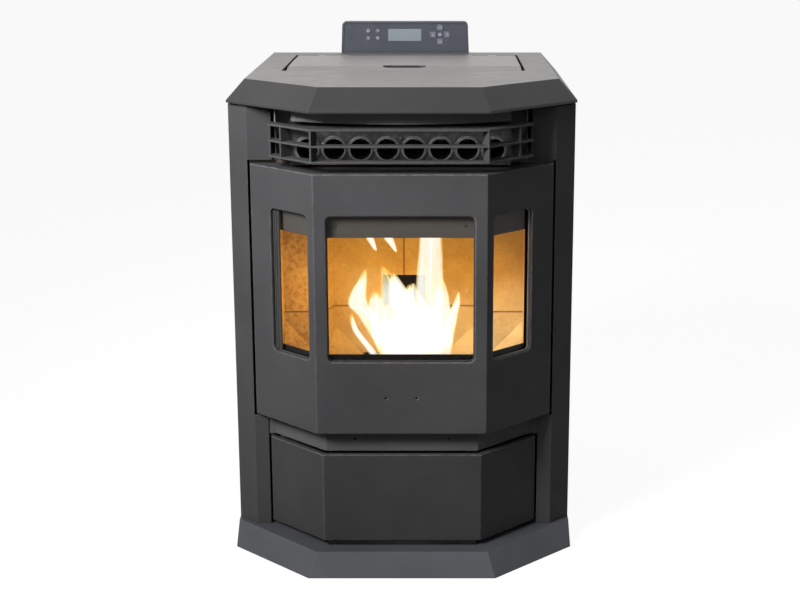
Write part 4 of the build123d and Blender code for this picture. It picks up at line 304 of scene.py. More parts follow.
def rope_material(name, dark, pale):
    """Woven glass-fibre rope: two fibre directions over a soft base."""
    material, tree = new_material(name)
    where = place(tree)
    first = node(tree, "TexWave", {"Vector": where, "Scale": 260.0, "Distortion": 3.0, "Detail": 2.0},
                 bands_direction="DIAGONAL").outputs["Fac"]
    second = node(tree, "TexWave", {"Vector": place(tree, (-1, 1, 1)), "Scale": 260.0, "Distortion": 3.0},
                  bands_direction="DIAGONAL").outputs["Fac"]
    weave = maths(tree, "MULTIPLY", first, second)
    fuzz = noise(tree, where, 900.0, 4.0)
    base = mix(tree, ramp(tree, weave, [(0.15, grey(0)), (0.6, grey(1))]), dark, pale)
    base = mix(tree, maths(tree, "MULTIPLY", fuzz, 0.3), base, tint(dark, 0.6))
    normal = bump(tree, weave, 0.9, 0.0006)
    normal = bump(tree, fuzz, 0.5, 0.0002, normal)
    finish_shader(tree, {"Base Color": base, "Roughness": 0.95, "Normal": normal, "Sheen Weight": 0.4})
    return material


def display():
    """Liquid-crystal window: pale grey-blue with a fine dot grid and faint clouding."""
    material, tree = new_material("display")
    where = place(tree, (1400, 1, 1400))
    grid = node(tree, "TexChecker", {"Vector": where, "Scale": 1.0, "Color1": (0.19, 0.22, 0.25),
                                     "Color2": (0.175, 0.20, 0.23)}).outputs[0]
    cloud = noise(tree, place(tree), 45.0, 2.0)
    base = mix(tree, maths(tree, "MULTIPLY", cloud, 0.4), grid, (0.22, 0.255, 0.29))
    finish_shader(tree, {"Base Color": base, "Roughness": 0.16, "Specular IOR Level": 0.5, "Coat Weight": 0.4,
                         "Coat Roughness": 0.05, "Emission Color": base, "Emission Strength": 0.15,
                         "Normal": bump(tree, cloud, 0.05, 0.001)})
    return material


def circuit():
    """Green solder mask with lighter tracks."""
    material, tree = new_material("circuit")
    where = place(tree)
    tracks = node(tree, "TexBrick", {"Vector": place(tree, (1, 1, 1), (math.pi / 2, 0, 0)), "Scale": 160.0,
                                     "Color1": (0.02, 0.12, 0.05), "Color2": (0.03, 0.16, 0.07),
                                     "Mortar": (0.10, 0.30, 0.12), "Mortar Size": 0.03}).outputs[0]
    finish_shader(tree, {"Base Color": tracks, "Roughness": 0.4, "Coat Weight": 0.3,
                         "Normal": bump(tree, noise(tree, where, 300.0), 0.2, 0.0002)})
    return material


def firebox_steel():
    """Heat-darkened plate inside, and rough lighter grey paint on the tube sheet at the top."""
    material, tree = new_material("firebox_steel")
    where = place(tree)
    parts = node(tree, "SeparateXYZ", {0: where})
    body = noise(tree, where, 30.0, 6.0, 0.6)
    inside = ramp(tree, body, [(0.3, (0.035, 0.028, 0.022)), (0.7, (0.12, 0.10, 0.085))])
    sheet = ramp(tree, noise(tree, where, 120.0, 6.0, 0.7),
                 [(0.3, (0.022, 0.022, 0.023)), (0.55, (0.045, 0.045, 0.046)), (0.8, (0.13, 0.13, 0.132))])
    upper = node(tree, "MapRange", {"Value": parts.outputs[2], "From Min": 0.676, "From Max": 0.680}).outputs[0]
    base = mix(tree, upper, inside, sheet)
    normal, mask = edges(tree, 0.0012)
    base = mix(tree, maths(tree, "MULTIPLY", mask, 0.6), base, (0.34, 0.33, 0.33))
    normal = bump(tree, body, 0.4, 0.001, normal)
    normal = bump(tree, noise(tree, where, 500.0, 4.0), 0.5, 0.0005, normal)
    finish_shader(tree, {"Base Color": base, "Roughness": 0.62, "Metallic": 0.25, "Normal": normal})
    return material


def tube_steel():
    """Exchanger tube: pale grey in the front few millimetres with lighter front edges, and dark further into the
    bore.
    """
    material, tree = new_material("tube_steel")
    where = place(tree)
    depth = node(tree, "SeparateXYZ", {0: where}).outputs[1]
    front = node(tree, "MapRange", {"Value": depth, "From Min": -0.2605, "From Max": -0.2655}).outputs[0]
    body = noise(tree, where, 70.0, 6.0, 0.65)
    dark = ramp(tree, body, [(0.3, (0.012, 0.010, 0.008)), (0.7, (0.05, 0.043, 0.036))])
    pale = ramp(tree, noise(tree, where, 260.0, 4.0), [(0.3, (0.09, 0.09, 0.09)), (0.7, (0.30, 0.295, 0.29))])
    normal, mask = edges(tree, 0.0008)
    base = mix(tree, maths(tree, "MULTIPLY", front, 0.85), dark, pale)
    base = mix(tree, maths(tree, "MULTIPLY", maths(tree, "MULTIPLY", mask, front), 0.7), base, (0.42, 0.41, 0.40))
    normal = bump(tree, body, 0.4, 0.0006, normal)
    finish_shader(tree, {"Base Color": base, "Roughness": 0.55, "Metallic": 0.45, "Normal": normal})
    return material


CHARCOAL = (0.076, 0.076, 0.079)
stove_paint = paint("stove_paint", CHARCOAL)
# door: strong lighter tint on a wide edge rounding, a painted highlight along the door's bends
door_paint = paint("door_paint", CHARCOAL, edge=2.6, radius=0.0045)
# ash drawer: the stove paint darkened, painted shade under the door, with a strong lighter tint on its lip as a
# painted highlight
drawer_paint_shaded_highlit = paint("drawer_paint_shaded_highlit", (0.060, 0.060, 0.061), edge=3.2, radius=0.0045)
# sill: a paler copy of the stove paint, painted light that lifts the shade cast by the door above it
sill_paint_painted_lit = paint("sill_paint_painted_lit", (0.125, 0.125, 0.125))
base_paint = paint("base_paint", (0.098, 0.103, 0.115), rough=0.42, level=0.2)
# top plate and lid: dark paint whose level faces take the paler upper colour, painted sheen from the light above
top_paint = paint("top_paint", (0.034, 0.033, 0.033), rough=0.42, grain=0.6, level=0.25, edge=2.4,
                  upper=(0.17, 0.165, 0.161))
lid_paint = paint("lid_paint", (0.040, 0.039, 0.038), rough=0.45, grain=0.6, level=0.45, edge=2.4,
                  upper=(0.24, 0.233, 0.227))
inner_paint = paint("inner_paint", (0.28, 0.281, 0.288), rough=0.45, grain=1.6, edge=1.1)
band_paint = paint("band_paint", (0.080, 0.074, 0.066), rough=0.6, grain=0.3, level=0.12)
galvanized = sheet_metal("galvanized", (0.50, 0.51, 0.52), 0.36, spangle=70.0, stain=0.15)
dark_steel = sheet_metal("dark_steel", (0.12, 0.115, 0.11), 0.5, stain=0.8)
retainer_paint = paint("retainer_paint", (0.006, 0.0055, 0.005), rough=0.75, level=0.03)
# ash pan: near-black steel, painted shade for the dark gap round the ash drawer
ash_pan_shade_steel = sheet_metal("ash_pan_shade_steel", (0.022, 0.020, 0.018), 0.6, stain=0.8, stain_colour=(0.012, 0.010, 0.009))
zinc = sheet_metal("zinc", (0.52, 0.51, 0.49), 0.32, stain=0.25)
stainless = sheet_metal("stainless", (0.56, 0.56, 0.55), 0.28, streak=(1, 22, 1))
aluminium = sheet_metal("aluminium", (0.60, 0.60, 0.61), 0.5, stain=0.2, stain_colour=(0.25, 0.24, 0.23))
auger_steel = sheet_metal("auger_steel", (0.30, 0.29, 0.28), 0.42, stain=0.4)
motor_paint = paint("motor_paint", (0.03, 0.03, 0.032), rough=0.35, edge=3.5)
cast_iron = rough_mass("cast_iron", [(0.3, (0.035, 0.030, 0.027)), (0.7, (0.11, 0.10, 0.095))], 90.0, 0.0008,
                       0.75, speck=(0.17, 0.14, 0.12), metallic=0.3)
brick = firebrick()
pane = glass()
rope_dark = rope_material("rope_dark", (0.10, 0.095, 0.09), (0.36, 0.345, 0.33))
silicone = plastic("silicone", (0.05, 0.05, 0.055), 0.7)
black_plastic = plastic("black_plastic", (0.045, 0.047, 0.054), 0.42)
panel_plastic = plastic("panel_plastic", (0.049, 0.055, 0.073), 0.36, 3000.0, 0.1)
key_plastic = plastic("key_plastic", (0.115, 0.127, 0.16), 0.4)
lcd = display()
board = circuit()
shell_steel = firebox_steel()
tube_metal = tube_steel()

FINISH = {
    stove_paint: ["side_panel_left", "side_panel_right", "rear_panel", "grille_blades", "grille_struts"],
    door_paint: ["door_frame"],
    drawer_paint_shaded_highlit: ["ash_drawer_front"],
    sill_paint_painted_lit: ["front_sill"],
    base_paint: ["base_plinth"],
    top_paint: ["top_plate"],
    lid_paint: ["hopper_lid"],
    inner_paint: ["outlet_hood"],
    galvanized: ["hopper", "air_plenum", "convection_blower_housing", "convection_impeller"],
    ash_pan_shade_steel: ["ash_pan"],
    dark_steel: ["tube_scraper", "burn_pot_holder", "auger_tube", "door_hinge_brackets", "latch_rod"],
    auger_steel: ["auger_screw"],
    retainer_paint: ["glass_retainers"],
    band_paint: ["air_wash_strip"],
    zinc: ["levelling_feet", "panel_screws", "lid_hinge_leaves", "retainer_screws"],
    stainless: ["igniter", "exhaust_impeller", "flue_outlet", "air_intake_pipe"],
    aluminium: ["exhaust_blower_housing"],
    motor_paint: ["auger_gearmotor", "convection_blower_motor", "exhaust_blower_motor"],
    cast_iron: ["burn_pot"],
    brick: ["firebricks", "ash_guides"],
    pane: ["door_glass"],
    rope_dark: ["door_gasket", "glass_gaskets"],
    silicone: ["lid_gasket"],
    black_plastic: ["power_inlet", "control_housing"],
    panel_plastic: ["control_faceplate"],
    lcd: ["display_window"],
    board: ["control_board"],
    shell_steel: ["firebox_shell"],
    tube_metal: ["exchanger_tubes"],
    key_plastic: [name for name in NODES if name.startswith("key_")],
}
for material, names in FINISH.items():
    for name in names:
        NODES[name].data.materials.clear()
        NODES[name].data.materials.append(material)
dressed = {name for names in FINISH.values() for name in names}
assert dressed == set(NODES), sorted(dressed ^ set(NODES))


# ---------------------------------------------------------------- mesh helpers
def piece(name, vertices, faces, body, material, slot=None, smooth=True, uvs=None, stands_for=()):
    """A mesh object that rides on a body."""
    mesh = bpy.data.meshes.new(name)
    mesh.from_pydata([tuple(v) for v in vertices], [], faces)
    if uvs is not None:
        layer = mesh.uv_layers.new(name="UVMap")
        for loop in mesh.loops:
            layer.data[loop.index].uv = uvs[loop.vertex_index]
    mesh.polygons.foreach_set("use_smooth", [smooth] * len(mesh.polygons))
    mesh.update()
    made = bpy.data.objects.new(name, mesh)
    bpy.context.scene.collection.objects.link(made)
    made.data.materials.append(material)
    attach(made, body)
    if stands_for:
        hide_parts(*stands_for)
    return made


def outwards(made):
    """Turn the faces of a closed piece to the outside."""
    work = bmesh.new()
    work.from_mesh(made.data)
    bmesh.ops.recalc_face_normals(work, faces=work.faces)
    work.to_mesh(made.data)
    work.free()


def rounded_path(half_width, low, high, radius, step):
    """Closed path round a rectangle with rounded corners: pairs of across and up, evenly spaced."""
    corners = [(half_width - radius, high - radius, 0), (-half_width + radius, high - radius, 90),
               (-half_width + radius, low + radius, 180), (half_width - radius, low + radius, 270)]
    points = []
    for x, z, start in corners:
        for index in range(13):
            angle = math.radians(start + index * 7.5)
            points.append((x + radius * math.cos(angle), z + radius * math.sin(angle)))
    points.append(points[0])
    points = np.array(points)
    run = np.concatenate([[0], np.cumsum(np.linalg.norm(np.diff(points, axis=0), axis=1))])
    count = int(run[-1] / step)
    stations = np.linspace(0, run[-1], count, endpoint=False)
    return np.stack([np.interp(stations, run, points[:, i]) for i in (0, 1)], 1)


def rope_ring(path, origin, across, up, out, half_side, half_out, strands, lay):
    """Twisted rope along a closed flat path in millimetres: vertices in metres, and faces."""
    count, sides = len(path), 14
    vertices, faces = [], []
    for index in range(count):
        here, ahead, behind = path[index], path[(index + 1) % count], path[index - 1]
        tangent = ahead - behind
        tangent /= np.linalg.norm(tangent)
        side = (tangent[1], -tangent[0])
        for corner in range(sides):
            angle = 2 * math.pi * corner / sides
            turn = angle - 2 * math.pi * index / lay
            swell = 1 - 0.20 * abs(math.sin(strands * turn / 2))
            reach = half_side * swell * math.cos(angle)
            lift = half_out * swell * math.sin(angle)
            flat = (here[0] + side[0] * reach, here[1] + side[1] * reach)
            vertices.append(origin + (across * flat[0] + up * flat[1] + out * lift) / 1000)
    for index in range(count):
        for corner in range(sides):
            a = index * sides + corner
            b = index * sides + (corner + 1) % sides
            c = ((index + 1) % count) * sides + (corner + 1) % sides
            d = ((index + 1) % count) * sides + corner
            faces.append((a, b, c, d))
    return vertices, faces


def joined(parts):
    """Vertices and faces of several parts as one."""
    vertices, faces = [], []
    for some_vertices, some_faces in parts:
        start = len(vertices)
        vertices += list(some_vertices)
        faces += [tuple(i + start for i in face) for face in some_faces]
    return vertices, faces


# ---------------------------------------------------------------- ropes
X, Y, Z = Vector((1, 0, 0)), Vector((0, 1, 0)), Vector((0, 0, 1))
door_path = rounded_path(227.5, 256.5, 654.5, 8, 1.6)
vertices, faces = rope_ring(door_path, at(0, 122.9, 0), X, Z, Y, 4.0, 3.7, 3, 12)
outwards(piece("door_rope", vertices, faces, "door", rope_dark, "rope_seal", stands_for=["door_gasket"]))

WINDOWS = [("front", 0, 0.0, FRONT_PANE_HALF)]
for side, name in ((-1, "left"), (1, "right")):
    WINDOWS.append((name, side, WING_PANE_MIDDLE, WING_PANE_HALF))
C45 = math.cos(math.pi / 4)


def window_frame(side, depth):
    """Origin at the bend or the middle, direction along the facet and direction out of the stove."""
    if side == 0:
        return at(0, depth, 0), X, -Y
    out = Vector((side * C45, -C45, 0))
    return at(side * BEND_X, 0, 0) - out * depth / 1000, Vector((side * C45, C45, 0)), out


rope_lit_copy = rope_material("rope_lit_copy", (0.22, 0.20, 0.17), (0.80, 0.77, 0.70))
rope_shaded_copy = rope_material("rope_shaded_copy", (0.010, 0.010, 0.010), (0.040, 0.039, 0.037))
# one glass gasket in two copies: black in the front and left windows, painted shade, and pale in the right window,
# painted light
parts = {"rope_dark": [], "rope_lit_copy": []}
for name, side, middle, half in WINDOWS:
    origin, across, out = window_frame(side, 7.5)
    path = rounded_path(half - 0.2, *PANE_ROPE_Z, 8.6, 0.9)
    path[:, 0] += middle
    parts["rope_lit_copy" if side == 1 else "rope_dark"].append(
        rope_ring(path, origin, across, Z, out, 1.9, 1.45, 3, 7))
outwards(piece("pane_rope_lit_copy", *joined(parts["rope_lit_copy"]), "door", rope_lit_copy, "rope_seal"))
outwards(piece("pane_ropes_shaded_copy", *joined(parts["rope_dark"]), "door", rope_shaded_copy, "rope_seal",
               stands_for=["glass_gaskets"]))
# extra black rope on the left window's outer jamb only: partly rope, partly painted shade along that jamb
origin, across, out = window_frame(-1, 6.6)
jamb_rope_and_shade = []
for middle, half, thick in ((102.6, 2.4, 2.4), (94.2, 1.2, 2.2)):
    path = rounded_path(half, 366.0, 600.0, half - 0.1, 1.2)
    path[:, 0] += middle
    jamb_rope_and_shade.append(rope_ring(path, origin, across, Z, out, thick, 1.9, 3, 9))
outwards(piece("jamb_rope_and_shade", *joined(jamb_rope_and_shade), "door", rope_shaded_copy, "rope_seal"))


# ---------------------------------------------------------------- screws with a cross recess
def screw_head(centre, out, radius, height, turn):
    """Domed head with a cross recess, closed at its foot."""
    spin = Matrix.Rotation(turn, 3, out)
    a = (spin @ out.orthogonal()).normalized()
    b = out.cross(a)
    rings, sides = 9, 40
    vertices, faces = [centre + out * height * 0.35], []
    for ring in range(1, rings + 1):
        share = ring / rings
        for corner in range(sides):
            angle = 2 * math.pi * corner / sides
            u, v = share * math.cos(angle), share * math.sin(angle)
            top = height * math.sqrt(max(0.0, 1 - 0.78 * share * share))
            if min(abs(u), abs(v)) < 0.13 and share < 0.62:
                top -= height * 0.55
            if ring == rings:
                top = 0.0
            vertices.append(centre + (a * u + b * v) * radius + out * top)
    for corner in range(sides):
        faces.append((0, 1 + corner, 1 + (corner + 1) % sides))
        for ring in range(rings - 1):
            first = 1 + ring * sides
            faces.append((first + corner, first + sides + corner, first + sides + (corner + 1) % sides,
                          first + (corner + 1) % sides))
    faces.append(tuple(1 + (rings - 1) * sides + corner for corner in range(sides))[::-1])
    return vertices, faces


dice = random.Random(7)
heads = []
for side in (-1, 1):
    for z in (60, 245, 430, 615, 745):
        heads.append(screw_head(at(side * 274.3, 630, z), Y, 0.004, 0.0022, dice.uniform(0, 3)))
outwards(piece("panel_screw_heads", *joined(heads), "cabinet", zinc, "zinc_fastener", stands_for=["panel_screws"]))

heads = []
for name, side, middle, half in WINDOWS:
    for z, seat in ((349, 15.0), (616.6, 16.5)):
        origin, across, out = window_frame(side, seat)
        for place_x in (middle - half + 12, middle + half - 12):
            centre = origin + across * place_x / 1000 + Z * z / 1000
            heads.append(screw_head(centre, -out, 0.004, 0.002, dice.uniform(0, 3)))
outwards(piece("retainer_screw_heads", *joined(heads), "door", zinc, "zinc_fastener", stands_for=["retainer_screws"]))


# dark screws on the air-wash band, and black caps at the blind ends of the two small holes in the door, painted shade
# inside the holes
heads = []
for name, side, middle, half in WINDOWS[:1]:
    for place_x in (middle - half + 15, middle + half - 15):
        heads.append(screw_head(at(place_x, 15, 585.5), -Y, 0.0026, 0.0012, dice.uniform(0, 3)))
outwards(piece("band_screws", *joined(heads), "door", motor_paint, "dark_steel"))
ends = [screw_head(at(x, 5.5, 301), -Y, 0.00195, 0.0008, 0) for x in (-25, 25)]
outwards(piece("hole_shade_caps", *joined(ends), "door", motor_paint, "dark_steel"))


# ---------------------------------------------------------------- weld beads round the tubes
def bead(centre, radius, thick, ripples):
    """Rippled weld ring round the Y axis."""
    turns, sides = 96, 8
    vertices, faces = [], []
    for index in range(turns):
        angle = 2 * math.pi * index / turns
        fat = thick * (1 + 0.22 * math.sin(ripples * angle) + 0.12 * math.sin(2.3 * ripples * angle + 1))
        for corner in range(sides):
            around = 2 * math.pi * corner / sides
            reach = radius + fat * math.cos(around)
            vertices.append(centre + Vector((reach * math.cos(angle), fat * 0.8 * math.sin(around),
                                             reach * math.sin(angle))))
    for index in range(turns):
        for corner in range(sides):
            a, b = index * sides + corner, index * sides + (corner + 1) % sides
            after = ((index + 1) % turns) * sides
            faces.append((a, b, after + (corner + 1) % sides, after + corner))
    return vertices, faces


weld_metal = sheet_metal("weld_metal", (0.20, 0.198, 0.195), 0.5, stain=0.5)
beads = [bead(at((i - (TUBE_COUNT - 1) / 2) * TUBE_PITCH, 64.2, TUBE_Z), 0.0203, 0.0014, 31)
         for i in range(TUBE_COUNT)]
outwards(piece("tube_welds", *joined(beads), "cabinet", weld_metal, "dark_steel"))


# ---------------------------------------------------------------- pellets, ash and flames
def pellet(centre, direction, length, radius):
    """Short rod with slightly rounded ends."""
    direction = direction.normalized()
    a = direction.orthogonal().normalized()
    b = direction.cross(a)
    sides = 8
    vertices, faces = [], []
    for along, wide in ((-0.5, 0.72), (-0.44, 1.0), (0.44, 1.0), (0.5, 0.72)):
        for corner in range(sides):
            angle = 2 * math.pi * corner / sides
            vertices.append(centre + direction * length * along
                            + (a * math.cos(angle) + b * math.sin(angle)) * radius * wide)
    for ring in range(3):
        for corner in range(sides):
            p, q = ring * sides + corner, ring * sides + (corner + 1) % sides
            faces.append((p, q, q + sides, p + sides))
    faces.append(tuple(range(sides))[::-1])
    faces.append(tuple(range(3 * sides, 4 * sides)))
    return vertices, faces


def heap(count, half_x, depths, height_at, seed):
    """Pellets lying over a heap. Limits in millimetres."""
    dice = random.Random(seed)
    made = []
    for _ in range(count):
        x = dice.uniform(-half_x, half_x)
        depth = dice.uniform(*depths)
        z = height_at(x, depth) + dice.uniform(-4, 1.5)
        lean = Vector((dice.uniform(-1, 1), dice.uniform(-1, 1), dice.uniform(-0.35, 0.35)))
        made.append(pellet(at(x, depth, z), lean, dice.uniform(0.010, 0.018), 0.003))
    return joined(made)


def wood():
    """Pressed sawdust: warm fibres, glossy darker bands."""
    material, tree = new_material("wood_pellet")
    where = place(tree)
    body = noise(tree, where, 60.0, 4.0)
    base = ramp(tree, body, [(0.3, (0.24, 0.13, 0.06)), (0.55, (0.46, 0.29, 0.15)), (0.8, (0.60, 0.42, 0.25))])
    fibre = noise(tree, place(tree, (1, 1, 5)), 700.0, 3.0)
    base = mix(tree, maths(tree, "MULTIPLY", fibre, 0.35), base, (0.20, 0.11, 0.05))
    finish_shader(tree, {"Base Color": base, "Roughness": 0.55, "Normal": bump(tree, fibre, 0.5, 0.0003)})
    return material


def ember():
    """Glowing charcoal: black crust with orange and yellow cracks."""
    material, tree = new_material("ember")
    where = place(tree)
    heat = noise(tree, where, 75.0, 5.0, 0.6)
    glow = ramp(tree, heat, [(0.36, (0.02, 0.002, 0.0)), (0.52, (0.9, 0.16, 0.01)), (0.70, (1.0, 0.62, 0.16))])
    crust = ramp(tree, noise(tree, where, 300.0, 4.0), [(0.3, (0.015, 0.012, 0.01)), (0.8, (0.13, 0.11, 0.10))])
    finish_shader(tree, {"Base Color": crust, "Roughness": 0.9, "Emission Color": glow, "Emission Strength": 2.2,
                         "Normal": bump(tree, heat, 0.6, 0.0008)})
    material.cycles.emission_sampling = "NONE"
    return material


wood_pellet = wood()
ember_coal = ember()
pot_heap = heap(210, 38, (170, 234), lambda x, d: 303 - 0.004 * x * x - 0.006 * (d - 202) ** 2, 3)
outwards(piece("burning_pellets", *pot_heap, "pot", ember_coal, "ember", smooth=False))


def hopper_level(x, depth):
    return 716 - 0.00035 * x * x - 0.10 * abs(depth - 470) + 5 * math.sin(x / 37) * math.sin(depth / 29)


pile = heap(1300, 180, (312, 552), hopper_level, 5)
outwards(piece("hopper_pellets", *pile, "cabinet", wood_pellet, "wood_pellet", smooth=False))


def sheet_grid(across, along, columns, rows, height):
    """Open sheet whose height is a function of x and depth. Limits in millimetres."""
    vertices, faces = [], []
    for j in range(rows + 1):
        for i in range(columns + 1):
            x = across[0] + (across[1] - across[0]) * i / columns
            depth = along[0] + (along[1] - along[0]) * j / rows
            vertices.append(at(x, depth, height(x, depth)))
    for j in range(rows):
        for i in range(columns):
            a = j * (columns + 1) + i
            faces.append((a, a + 1, a + columns + 2, a + columns + 1))
    return vertices, faces


ash_grey = rough_mass("ash_grey", [(0.3, (0.20, 0.19, 0.18)), (0.7, (0.46, 0.44, 0.42))], 120.0, 0.0015, 0.98,
                      speck=(0.06, 0.055, 0.05))
grid = sheet_grid((-123, 123), (22.5, 238), 70, 60, lambda x, d: 58 + 16 * math.exp(-((x / 70) ** 2)
                  - ((d - 190) / 45) ** 2) + 1.6 * math.sin(x / 6.1 + d / 9.3) * math.cos(d / 5.7 - x / 11))
piece("ash_bed", *grid, "ash_drawer", ash_grey, "ash")
base_heap = sheet_grid((-188, 188), (302, 560), 60, 40, lambda x, d: hopper_level(x, d) - 5)
piece("pellet_bed", *base_heap, "cabinet", wood_pellet, "wood_pellet")


def flame_material():
    """Flame: soft amber rim and tip, streaks along the tongue, white at the core."""
    material, tree = new_material("flame")
    uv = node(tree, "UVMap").outputs[0]
    warp = noise(tree, place(tree, (1, 1, 0.45)), 26.0, 3.0, 0.55)
    warp = maths(tree, "MULTIPLY", maths(tree, "SUBTRACT", warp, 0.5), 1.3)
    parts = node(tree, "SeparateXYZ", {0: uv})
    along = parts.outputs[1]
    across = maths(tree, "ABSOLUTE", maths(tree, "ADD", parts.outputs[0], maths(tree, "MULTIPLY", warp, 0.55)))
    rim = maths(tree, "MULTIPLY", maths(tree, "SUBTRACT", 1.0, across), 3.6, clamp=True)
    foot = node(tree, "MapRange", {"Value": along, "From Min": 0.0, "From Max": 0.10}).outputs[0]
    tip = node(tree, "MapRange", {"Value": maths(tree, "ADD", along, maths(tree, "MULTIPLY", warp, 0.25)),
                                  "From Min": 1.0, "From Max": 0.72}).outputs[0]
    streak = noise(tree, place(tree, (1, 1, 0.22)), 75.0, 4.0, 0.6)
    streak = node(tree, "MapRange", {"Value": streak, "From Min": 0.35, "From Max": 0.62, "To Min": 0.62,
                                     "To Max": 1.0}).outputs[0]
    body = maths(tree, "MULTIPLY", maths(tree, "MULTIPLY", rim, tip), maths(tree, "MULTIPLY", foot, streak))
    body = maths(tree, "MULTIPLY", body, 1.0, clamp=True)
    colour = ramp(tree, body, [(0.0, (0, 0, 0)), (0.15, (0.30, 0.20, 0.04)), (0.35, (0.56, 0.50, 0.27)),
                               (0.60, (0.80, 0.78, 0.62)), (1.0, (0.94, 0.93, 0.87))])
    veil = ramp(tree, body, [(0.0, grey(1)), (0.5, grey(0.6)), (1.0, grey(0.4))])
    glow = node(tree, "Emission", {"Color": colour, "Strength": 1.0})
    clear = node(tree, "BsdfTransparent", {"Color": veil})
    both = node(tree, "AddShader", {0: clear.outputs[0], 1: glow.outputs[0]})
    node(tree, "OutputMaterial", {"Surface": both.outputs[0]})
    material.cycles.emission_sampling = "NONE"
    return material


# spine of each tongue from foot to tip: x, depth, height, half width
TONGUES = [
    [(44, 205, 304, 34), (46, 203, 370, 27), (45, 200, 440, 24), (47, 202, 510, 22), (48, 206, 575, 15),
     (42, 208, 630, 4)],
    [(-4, 198, 304, 46), (-6, 196, 350, 42), (-10, 198, 395, 33), (-17, 202, 430, 23), (-36, 205, 476, 5)],
    [(2, 208, 380, 20), (-4, 208, 415, 22), (-12, 208, 440, 14), (-18, 208, 462, 5)],
    [(-32, 200, 320, 16), (-40, 199, 360, 18), (-46, 199, 392, 17), (-48, 200, 416, 12), (-50, 202, 432, 4)],
    [(-30, 196, 325, 16), (-48, 194, 360, 14), (-62, 192, 392, 18), (-78, 191, 412, 19), (-76, 194, 436, 13),
     (-69, 197, 458, 7), (-66, 198, 474, 2)],
    [(56, 190, 304, 28), (60, 188, 345, 26), (63, 190, 390, 19), (66, 194, 425, 13), (66, 198, 455, 4)],
    [(72, 192, 330, 13), (78, 192, 365, 12), (85, 194, 392, 10), (93, 196, 412, 7), (95, 198, 432, 2)],
    [(10, 185, 306, 40), (8, 183, 350, 38), (6, 186, 395, 25), (8, 190, 425, 12), (10, 194, 446, 3)],
    [(20, 222, 306, 42), (18, 222, 360, 42), (14, 220, 400, 30), (14, 218, 425, 14), (16, 218, 442, 4)],
    [(-4, 174, 306, 44), (-2, 174, 345, 40), (-4, 178, 380, 26), (-6, 180, 408, 8)],
    [(-48, 212, 502, 2), (-54, 212, 516, 6), (-60, 212, 531, 8), (-64, 212, 554, 9), (-57, 212, 590, 3)],
    [(-13, 210, 500, 2), (-20, 210, 514, 6), (-28, 210, 530, 9), (-34, 210, 556, 9), (-34, 210, 588, 3)],
    [(-46, 206, 306, 8), (-62, 205, 330, 7), (-84, 204, 362, 6), (-92, 204, 392, 3)],
]


def tongue(spine, crossed):
    """Sheet along a spine, facing the front or the side: vertices, faces and uvs."""
    spine = np.array(spine, float)
    rows, columns = 28, 8
    run = np.linspace(0, len(spine) - 1, rows + 1)
    vertices, faces, uvs = [], [], []
    for j, place_on in enumerate(run):
        k = min(int(place_on), len(spine) - 2)
        t = place_on - k
        before, after = spine[max(k - 1, 0)], spine[min(k + 2, len(spine) - 1)]
        a, b = spine[k], spine[k + 1]
        here = 0.5 * (2 * a + (b - before) * t + (2 * before - 5 * a + 4 * b - after) * t * t
                      + (3 * a - before - 3 * b + after) * t ** 3)
        half = max(1.0, here[3])
        for i in range(columns + 1):
            u = 2 * i / columns - 1
            if crossed:
                spot = at(here[0] + 2 * math.cos(2 * u), here[1] + u * half * 0.7, here[2])
            else:
                spot = at(here[0] + u * half, here[1] + 5 * math.cos(1.4 * u), here[2])
            vertices.append(spot)
            uvs.append((u, j / rows))
    for j in range(rows):
        for i in range(columns):
            a = j * (columns + 1) + i
            faces.append((a, a + 1, a + columns + 2, a + columns + 1))
    return vertices, faces, uvs


for crossed, name in ((False, "flames"), (True, "flames_across")):
    vertices, faces, uvs = [], [], []
    for spine in TONGUES:
        some_vertices, some_faces, some_uvs = tongue(spine, crossed)
        faces += [tuple(i + len(vertices) for i in face) for face in some_faces]
        vertices += some_vertices
        uvs += some_uvs
    made = piece(name, vertices, faces, "pot", flame_material(), "flame", uvs=uvs)
    made.visible_shadow = False
    made.visible_diffuse = False

# ---------------------------------------------------------------- key symbols
legend, tree = new_material("key_legend")
where = place(tree)
ink = ramp(tree, noise(tree, where, 600.0, 2.0), [(0.3, (0.42, 0.45, 0.50)), (0.7, (0.60, 0.63, 0.68))])
finish_shader(tree, {"Base Color": ink, "Roughness": 0.5,
                     "Normal": bump(tree, noise(tree, where, 900.0), 0.1, 0.0001)})


def stroke(points, width):
    """Flat ribbon along points in the key's plane, in millimetres."""
    outline = np.array(points, float)
    vertices, faces = [], []
    for index, here in enumerate(outline):
        before, after = outline[max(0, index - 1)], outline[min(len(outline) - 1, index + 1)]
        run = (after - before) / np.linalg.norm(after - before)
        for side in (-1, 1):
            vertices.append((here[0] - side * run[1] * width / 2, here[1] + side * run[0] * width / 2))
    for index in range(len(outline) - 1):
        a = 2 * index
        faces.append((a, a + 1, a + 3, a + 2))
    return vertices, faces


def arc(radius, start, end, steps=20):
    return [(radius * math.cos(math.radians(start + (end - start) * i / steps)),
             radius * math.sin(math.radians(start + (end - start) * i / steps))) for i in range(steps + 1)]


